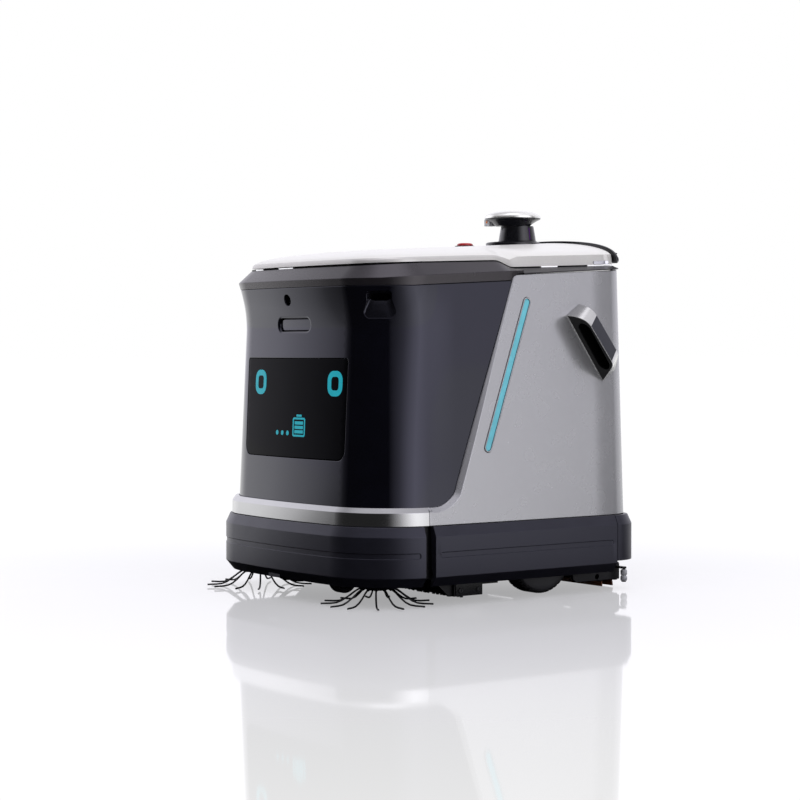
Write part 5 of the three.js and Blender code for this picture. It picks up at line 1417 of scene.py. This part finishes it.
# ---------------------------------------------------------------- caster
CASTER_Y, SWIVEL_Y, CASTER_R = -160.0, -176.0, 25.0
mount = [(43, 52.4), (46, 52.4), (46, 61), (45, 62), (12, 62), (11, 64), (6, 64), (6, 58), (42, 58), (43, 57)]
piece("caster_mount_ring", *lathe(mount, 48, (0, SWIVEL_Y, 0)), "steel", "base", "steel", ["caster_mount"], bevel=0.4)
cheek = fillet([(SWIVEL_Y - 8, 52), (SWIVEL_Y - 8, 44), (CASTER_Y - 9, 19), (CASTER_Y + 8, 19), (CASTER_Y + 8, 52)],
               [2, 8, 6, 6, 2], 4)
fork_parts = [slab(cheek, x, x + 3, "X") for x in (-17, 14)]
fork_parts += [block(-17, 17, SWIVEL_Y - 12, CASTER_Y + 10, 51, 54),
               lathe([(0, -19), (5, -19), (5, -16), (3, -16), (3, 16), (5, 16), (5, 19), (0, 19)], 20,
                     (0, CASTER_Y, CASTER_R), "X"),
               lathe([(0, 53), (5.4, 53), (5.4, 64), (0, 64)], 20, (0, SWIVEL_Y, 0))]
piece("caster_fork_frame", *merged(*fork_parts), "steel", "caster", "steel", ["caster_fork"], bevel=0.4)
caster_tread = fillet([(3.7, -12), (14, -12), (16, -11), (22, -12), (CASTER_R, -9), (CASTER_R, 9), (22, 12), (16, 11),
                       (14, 12), (3.7, 12)], [0, 1, 1, 2, 3, 3, 2, 1, 1, 0], 3)
piece("caster_tyre", *lathe(caster_tread, 48, (0, CASTER_Y, CASTER_R), "X"), "rubber", "caster_roller", "tyre_rubber",
      ["caster_wheel"])

# ---------------------------------------------------------------- brush deck details and roller
deck_plate = slab(box_outline(-84, -27, 10, 44, 2.5), 225.0, 227.2, "X")
both("deck_side_plate", merged(deck_plate, block(219, 224, -22, 8, 28, 46)), "satin", "base", "frame_black",
     bevel=0.7)
bolt = [(0, 227), (4.4, 227), (4.4, 228.6), (3.6, 229.2), (2.2, 229.2), (2.0, 228.0), (0, 228.0)]
both("deck_side_bolts", merged(*[lathe(bolt, 20, (0, y, 19), "X") for y in (-74.5, -35.5)]), "disc", "base", "steel",
     sharp=30)
ROLLER_Y, ROLLER_Z, ROLLER_HALF, ROLLER_R, CORE_R = -56.0, 45.0, 208.0, 42.0, 22.0


def bristle_roller():
    core = lathe([(0, -ROLLER_HALF), (CORE_R, -ROLLER_HALF), (CORE_R, ROLLER_HALF), (0, ROLLER_HALF)], 32,
                 (0, ROLLER_Y, ROLLER_Z), "X")
    parts = [core]
    rows, tufts = 8, 44
    for row in range(rows):
        for k in range(tufts):
            x = -ROLLER_HALF + 6 + (2 * ROLLER_HALF - 12) * k / (tufts - 1)
            a = 2 * math.pi * row / rows + 0.9 * abs(x) / ROLLER_HALF
            lean = 0.05 * math.sin(5 * k + row)
            foot = Vector((x, ROLLER_Y + (CORE_R - 1) * math.cos(a), ROLLER_Z + (CORE_R - 1) * math.sin(a)))
            tip_a = a + lean
            tip = Vector((x + 1.2 * math.sin(3 * k), ROLLER_Y + (ROLLER_R - 0.6) * math.cos(tip_a),
                          ROLLER_Z + (ROLLER_R - 0.6) * math.sin(tip_a)))
            parts.append(tube([foot, tip], [1.5, 3.2], 6))
    return merged(*parts)


piece("main_brush_bristles", *bristle_roller(), "bristle", "brush_roller", "bristle", ["main_brush"], sharp=40)
brush_case = [(0, -70), (24, -70), (26, -68), (26, -40), (24.8, -39), (24.8, -36), (26, -35), (26, 66), (24, 70),
              (0, 70)]
piece("brush_gearmotor", *merged(lathe(brush_case, 36, (100, -60, 142), "X"), block(80, 120, -70, -50, 166, 176)),
      "motor", "base", "motor_grey", ["brush_motor"], bevel=0.5)

# ---------------------------------------------------------------- squeegee
SQ_PIVOT_Y, SQ_PIVOT_Z, ARM_X = 196.0, 66.0, 217.0
BLADE_FRONT_Y, BLADE_REAR_Y, BLADE_THICK, BLADE_TIP = 262.0, 286.0, 3.0, 2.0
BLADE_TOP, BLADE_FLEX_Z, BLADE_HALF = 33.6, 11.0, 208.0
arm_outline = fillet([(187, 14), (298, 14), (298, 44), (210, 76), (188, 78), (187, 40)], [11, 2, 5, 9, 7, 8], 5)
for side, flip in SIDES:
    skin(f"squeegee_arm_{side}", lambda u, v: Vector((ARM_X, u, v)), resample(arm_outline, 10),
         [circle(24, 4.6, (244.5, 21))], 5.5, 1.0, "black", "squeegee", "frame_black", grid=12.0, flip=flip)
bar_parts = [block(-212, 212, BLADE_FRONT_Y - 8.4, BLADE_FRONT_Y - 0.4, 12, 36),
             block(-212, 212, BLADE_REAR_Y + 3.4, BLADE_REAR_Y + 11.4, 12, 36),
             block(-212, 212, BLADE_FRONT_Y - 8.4, BLADE_REAR_Y + 11.4, 34, 42)]
pin = [(0, -5), (4.9, -5), (4.9, 5), (0, 5)]
axle = [(0, 10.5), (4.2, 10.5), (4.2, 11.8), (2.5, 11.8), (2.5, 35), (0, 35)]
for side in (-1, 1):
    bar_parts += [lathe(pin, 24, (side * 221, SQ_PIVOT_Y, SQ_PIVOT_Z), "X"),
                  block(*sorted((side * 212, side * 237)), 288, 297, 34.2, 38),
                  lathe(axle, 20, (side * 234, 293, 0))]
knob = [(0, 42), (7, 42), (8, 44), (8, 49), (7, 51), (0, 51)]
knobs = [lathe(knob, 12, (x, 278, 0)) for x in (-150, -50, 50, 150)]
piece("squeegee_bars", *merged(*bar_parts, *knobs), "black", "squeegee", "frame_black", ["squeegee_frame"],
      bevel=0.7)


def blade_solid(y, flare):
    """A blade whose tip bends back by flare."""
    back = y + BLADE_THICK
    section = [(y, BLADE_TOP), (back, BLADE_TOP), (back, BLADE_FLEX_Z), (back + flare, BLADE_TIP + 0.6),
               (back + flare - 0.6, BLADE_TIP), (y + flare, BLADE_TIP), (y, BLADE_FLEX_Z)]
    return slab(section, -BLADE_HALF, BLADE_HALF, "X")


for place, y, flare in (("front", BLADE_FRONT_Y, 0.0), ("rear", BLADE_REAR_Y, 1.5)):
    piece(f"squeegee_lip_{place}", *blade_solid(y, flare), "blade", "squeegee", "blade_rubber",
          [f"squeegee_blade_{place}"])
bead = [(3.0, 12), (5.0, 12.4), (6.0, 14), (6.0, 19.5), (5.2, 21.4), (4.0, 22.2), (5.2, 23.0), (6.0, 25), (6.0, 31),
        (5.0, 32.6), (3.0, 33)]
both("guide_roller_rings", lathe(bead, 32, (234, 293, 0)), "roller", "roller", "roller_plastic", "guide_roller",
     sharp=50)
bracket = fillet([(184, 62), (190, 55), (202, 55), (208, 62), (208, 100), (184, 100)], [4, 3, 3, 4, 1, 1], 4)
bush = lathe([(5.8, 226), (9, 226), (9, 228), (5.8, 228)], 20, (0, SQ_PIVOT_Y, SQ_PIVOT_Z), "X")
both("squeegee_hanger", merged(slab(bracket, 220, 226, "X"), block(225, 244, 184, 208, 94, 100), bush), "black",
     "base", "frame_black", "squeegee_bracket", bevel=0.6)


# ---------------------------------------------------------------- rear panel
REAR_TOP = panel_top_line(REAR_TOP_Y)
rear_half = PANEL_END_X - 1.0


def rear_point(u, v):
    return Vector((-u, REAR_Y - panel_inset(v) - 1, v))


louvres = [box_outline(-110, 110, 452 + 15 * k, 458 + 15 * k, 2.9, 6) for k in range(5)]
contact_holes = [box_outline(x - 16, x + 16, 178, 190, 3, 4) for x in (-34, 34)]
hatch = box_outline(-150, 150, 205, 420, 14, 6)
hatch_inner = box_outline(-148.6, 148.6, 206.4, 418.6, 12.6, 6)
rear_outline = resample(box_outline(-rear_half, rear_half, SILL_LOW, REAR_TOP, 1.0, 2), 14)
rear_holes = [resample(v, 12) for v in louvres + contact_holes] + [resample(hatch, 14)]
skin("rear_panel_skin", rear_point, rear_outline, rear_holes, 3.0, 0.8, "visor", "base", "visor_metallic",
     ["rear_panel"], grid=22.0)
skin("rear_service_hatch", rear_point, resample(hatch_inner, 14),
     [resample(box_outline(-42, 42, 382, 402, 9, 6), 8)], 3.0, 0.9, "visor", "base", "visor_metallic", grid=22.0)
backing_y = REAR_Y - panel_inset(480)
fin_parts = []
for z in (455 + 15 * k for k in range(5)):
    y = REAR_Y - panel_inset(z) - 7
    fin = [(y - 3, z + 5.5), (y + 3.4, z - 2.6), (y + 4.4, z - 1.4), (y - 2, z + 6.7)]
    fin_parts.append(slab(fin, -112, 112, "X"))
fin_parts += [block(-118, 118, backing_y - 16, backing_y - 14, 444, 528),
              block(-46, 46, backing_y - 12, backing_y - 10, 378, 406)]
piece("rear_louvre_fins", *merged(*fin_parts), "black", "base", "frame_black", bevel=0.3)
contact_y = REAR_Y - panel_inset(184) - 1
both("charge_contact_pad", merged(block(19, 49, contact_y - 6, contact_y + 1.5, 179, 189),
                                  block(23, 45, contact_y + 1.4, contact_y + 2.0, 182, 186)), "brass", "base",
     "contact_brass", "charge_contact", bevel=0.9)


# ---------------------------------------------------------------- tanks, battery and electronics
def ribbed_box(x0, x1, y0, y1, z0, z1, ribs, depth=2.0):
    body = slab(box_outline(x0, x1, y0, y1, 14, 5), z0, z1)
    bands = []
    for k in range(ribs):
        z = z0 + (z1 - z0) * (k + 1) / (ribs + 1)
        bands.append(slab(box_outline(x0 - depth, x1 + depth, y0 - depth, y1 + depth, 14, 5), z - 3, z + 3))
    return merged(body, *bands)


def screw_cap(x, y, z):
    profile = fillet([(0, z), (30, z), (30, z + 15), (12, z + 15), (12, z + 17), (0, z + 17)], [0, 1, 2, 1, 1, 0], 3)
    return merged(lathe(profile, 48, (x, y, 0)), *turned(x, y, block(-2, 2, 28, 31, z + 1, z + 13), 16))


for name, sign, node, material, slot in (
    ("clean_water", -1, "clean_water_tank", "battery", "battery_case"),
    ("recovery", 1, "recovery_tank", "motor", "motor_grey"),
):
    x0, x1 = sorted((sign * 8, sign * 198))
    piece(f"{name}_tank_body", *ribbed_box(x0, x1, -194, 18, 200, 525, 3), "tank", "base", "tank_plastic", [node],
          bevel=2.0)
    piece(f"{name}_tank_cap", *screw_cap(sign * 100, -100, 525), material, "base", slot, bevel=0.5)
piece("battery_case_box", *merged(ribbed_box(-148, 148, 62, 238, 170, 294, 2), block(-60, 60, 140, 160, 292, 300),
                                  block(96, 120, 100, 130, 292, 300)), "battery", "base", "battery_case",
      ["battery_pack"], bevel=1.2)
cooling = [block(-130 + 14 * k, -127 + 14 * k, 160, 252, 478, 488) for k in range(19)]
piece("control_box_case", *merged(slab(box_outline(-140, 140, 150, 262, 6, 4), 340, 480), *cooling), "motor", "base",
      "motor_grey", ["control_box"], bevel=0.8)
vents = [(0, 340), (50, 340), (52, 342), (52, 380), (64, 384)]
vents += [(64 if k % 2 else 61.5, 388 + 3.6 * k) for k in range(11)]
vents += [(64, 428), (60, 431), (30, 436), (0, 436)]
piece("suction_turbine", *lathe(vents, 56, (0, 84, 0)), "motor", "base", "motor_grey", ["suction_motor"], sharp=30)
knots = [Vector(v) for v in ((100, -60, 540), (100, -22, 556), (60, 58, 551), (4, 84, 520), (0, 84, 437))]


def spline(points, steps):
    made = []
    for i in range(len(points) - 1):
        p0, p1, p2, p3 = (points[max(0, i - 1)], points[i], points[i + 1], points[min(len(points) - 1, i + 2)])
        for k in range(steps):
            t = k / steps
            made.append(0.5 * (2 * p1 + (p2 - p0) * t + (2 * p0 - 5 * p1 + 4 * p2 - p3) * t * t
                               + (3 * p1 - p0 - 3 * p2 + p3) * t**3))
    return made + [points[-1]]


hose_path = spline(knots, 18)
hose_radii = [14.0 if k % 2 else 12.2 for k in range(len(hose_path))]
piece("suction_hose_bellows", *tube(hose_path, hose_radii, 20), "rubber", "base", "tyre_rubber", ["suction_hose"],
      sharp=60)

# ---------------------------------------------------------------- light, floor and camera
# The studio is a ring of light: (degrees from the front towards the right, brightness).
STUDIO = [
    (-180, 1.05), (-115, 1.05), (-95, 1.3), (-85, 1.55), (-60, 1.55), (-51, 1.2), (-47, 0.95), (-44, 0.66),
    (-42, 0.43), (-36, 0.18), (-25, 0.035), (54, 0.035), (60, 0.26), (70, 0.72), (84, 1.75), (96, 2.35), (115, 1.85),
    (130, 1.26), (133, 0.8), (136, 0.3), (143, 0.08), (150, 0.3), (158, 0.75), (180, 0.95),
]
STUDIO_PEAK = 2.5
STUDIO_TINT = (0.975, 0.962, 1.04, 1)
WHITE = (1, 1, 1, 1)
SIDE_FILL, TOP_LIGHT, TOP_FILL, ZENITH_LIGHT = 0.5, 0.95, 0.40, 1.3
TOP_START, TOP_FULL, ZENITH_START, ZENITH_FULL = 0.42, 0.85, 0.93, 0.99
LEFT_TOP, LEFT_TOP_END, RIGHT_TOP_START = 0.35, -0.75, -0.2


def plus(tree, a, b):
    return calc(tree, "ADD", a, b)


def times(tree, a, b):
    return calc(tree, "MULTIPLY", a, b)


def rest_of(tree, a):
    return calc(tree, "SUBTRACT", 1.0, a)


def ring_light(tree, x, y):
    """Brightness of the studio round the horizon, by the bearing of (x, y) from the front towards the right."""
    azimuth = calc(tree, "ARCTAN2", x, times(tree, y, -1.0))
    turn = plus(tree, calc(tree, "DIVIDE", azimuth, 2 * math.pi), 0.5)
    around = ramp(tree, turn, [((a + 180) / 360, (v / STUDIO_PEAK,) * 3) for a, v in STUDIO])
    return times(tree, around, STUDIO_PEAK)


studio_world = bpy.data.worlds.new("studio")
bpy.context.scene.world = studio_world
studio_world.use_nodes = True
tree = studio_world.node_tree
tree.nodes.clear()
parts = add(tree, "SeparateXYZ", {0: add(tree, "TexCoord").outputs["Generated"]}).outputs
rays = add(tree, "LightPath").outputs
diffuse, seen = rays["Is Diffuse Ray"], rays["Is Camera Ray"]
ring = ring_light(tree, parts["X"], parts["Y"])
sides = plus(tree, times(tree, ring, rest_of(tree, diffuse)), times(tree, diffuse, SIDE_FILL))
lift = ramped(tree, parts["Z"], TOP_START, TOP_FULL)
zenith = ramped(tree, parts["Z"], ZENITH_START, ZENITH_FULL, 0.0, ZENITH_LIGHT)
sided = ramped(tree, parts["X"], LEFT_TOP_END, RIGHT_TOP_START, LEFT_TOP, 1.0)
above = plus(tree, times(tree, diffuse, TOP_FILL), times(tree, calc(tree, "MAXIMUM", diffuse, sided), TOP_LIGHT))
overhead = plus(tree, zenith, times(tree, lift, above))
studio = plus(tree, overhead, times(tree, sides, rest_of(tree, lift)))
strength = plus(tree, seen, times(tree, studio, rest_of(tree, seen)))
light = add(tree, "Background", {"Color": blend(tree, seen, STUDIO_TINT, WHITE), "Strength": strength})
add(tree, "OutputWorld", {"Surface": light.outputs[0]})

# Pale floor: it glows softly, mirrors the machine faintly near it, and takes a contact shadow.
# Distances are in metres from the middle of the machine.
MIRROR_NEAR, MIRROR_FAR, MIRROR_END = (0.465, 0.40), (2.7, 0.12), (2.3, 3.6)
MIRROR_ROUGH, MIRROR_TINT = 0.045, (1.0, 1.0, 0.97, 1)
VIEW_X, VIEW_Y, VIEW_START, VIEW_FULL = 0.8, -0.6, -0.5, 0.2
FLOOR_TONE, FLOOR_FAR_TONE, TONE_FADE = (0.94, 0.94, 0.955, 1), (1.02, 1.02, 1.025, 1), (0.5, 1.3)
GLOW_SHADE_REACH, GLOW_SHARE = (0.30, 0.95), (0.6, 4.0, 0.78, 1.0)
SHADOW_FADE, SHADOW_SHARE = (0.8, 1.8), 0.35
FLOOR = 60.0

floor_material, tree, shader = new_material("studio_floor")
tree.nodes.remove(shader)
where = add(tree, "TexCoord").outputs["Object"]
spot = add(tree, "SeparateXYZ", {0: where}).outputs
distance = add(tree, "VectorMath", {0: where}, operation="LENGTH").outputs["Value"]
seen = add(tree, "LightPath").outputs["Is Camera Ray"]
share = ramped(tree, distance, *GLOW_SHARE, "LINEAR")
# The light the floor sends back to the machine is painted out under and close to it: a painted shadow beneath the
# machine.
lit = times(tree, times(tree, ring_light(tree, spot["X"], spot["Y"]), share), ramped(tree, distance, *GLOW_SHADE_REACH))
glow = plus(tree, seen, times(tree, lit, rest_of(tree, seen)))
tone = blend(tree, ramped(tree, distance, *TONE_FADE), FLOOR_TONE, FLOOR_FAR_TONE)
surface = add(tree, "Emission", {"Color": tone, "Strength": glow})
matt = add(tree, "BsdfDiffuse", {"Color": FLOOR_TONE})
shadow = times(tree, ramped(tree, distance, *SHADOW_FADE, SHADOW_SHARE, 0.0), seen)
body = add(tree, "MixShader", {0: shadow, 1: surface.outputs[0], 2: matt.outputs[0]})
mirror_shader = add(tree, "BsdfGlossy", {"Roughness": MIRROR_ROUGH, "Color": MIRROR_TINT})
near_share = ramped(tree, distance, MIRROR_NEAR[0], MIRROR_FAR[0], MIRROR_NEAR[1], MIRROR_FAR[1], "LINEAR")
ahead = plus(tree, times(tree, spot["X"], VIEW_X), times(tree, spot["Y"], VIEW_Y))
amount = times(tree, times(tree, near_share, ramped(tree, distance, *MIRROR_END, 1.0, 0.0)),
               ramped(tree, ahead, VIEW_START, VIEW_FULL))
whole = add(tree, "MixShader", {0: times(tree, amount, seen), 1: body.outputs[0], 2: mirror_shader.outputs[0]})
feed(tree, tree.nodes["Material Output"], {"Surface": whole.outputs[0]})

floor_mesh = bpy.data.meshes.new("floor")
floor_corners = ((-FLOOR, -FLOOR), (FLOOR, -FLOOR), (FLOOR, FLOOR), (-FLOOR, FLOOR))
floor_mesh.from_pydata([(x, y, 0) for x, y in floor_corners], [], [(0, 1, 2, 3)])
floor_mesh.materials.append(floor_material)
floor = bpy.data.objects.new("floor", floor_mesh)
bpy.context.scene.collection.objects.link(floor)

camera_data = bpy.data.cameras.new("camera")
camera_data.lens = 94.772
camera_data.sensor_width = 36.0
camera = bpy.data.objects.new("camera", camera_data)
camera.location = (3.0414, -2.2701, 0.4324)
camera.rotation_euler = (math.radians(88.5626), 0.0, math.radians(53.6836))
bpy.context.scene.collection.objects.link(camera)
bpy.context.scene.camera = camera
bpy.context.scene.view_settings.view_transform = "Standard"

# The CAD nodes that stay take the black frame finish.
for node in ("chassis_tray", "brush_deck"):
    frame["nodes"][node].data.materials.clear()
    frame["nodes"][node].data.materials.append(MAT["black"])
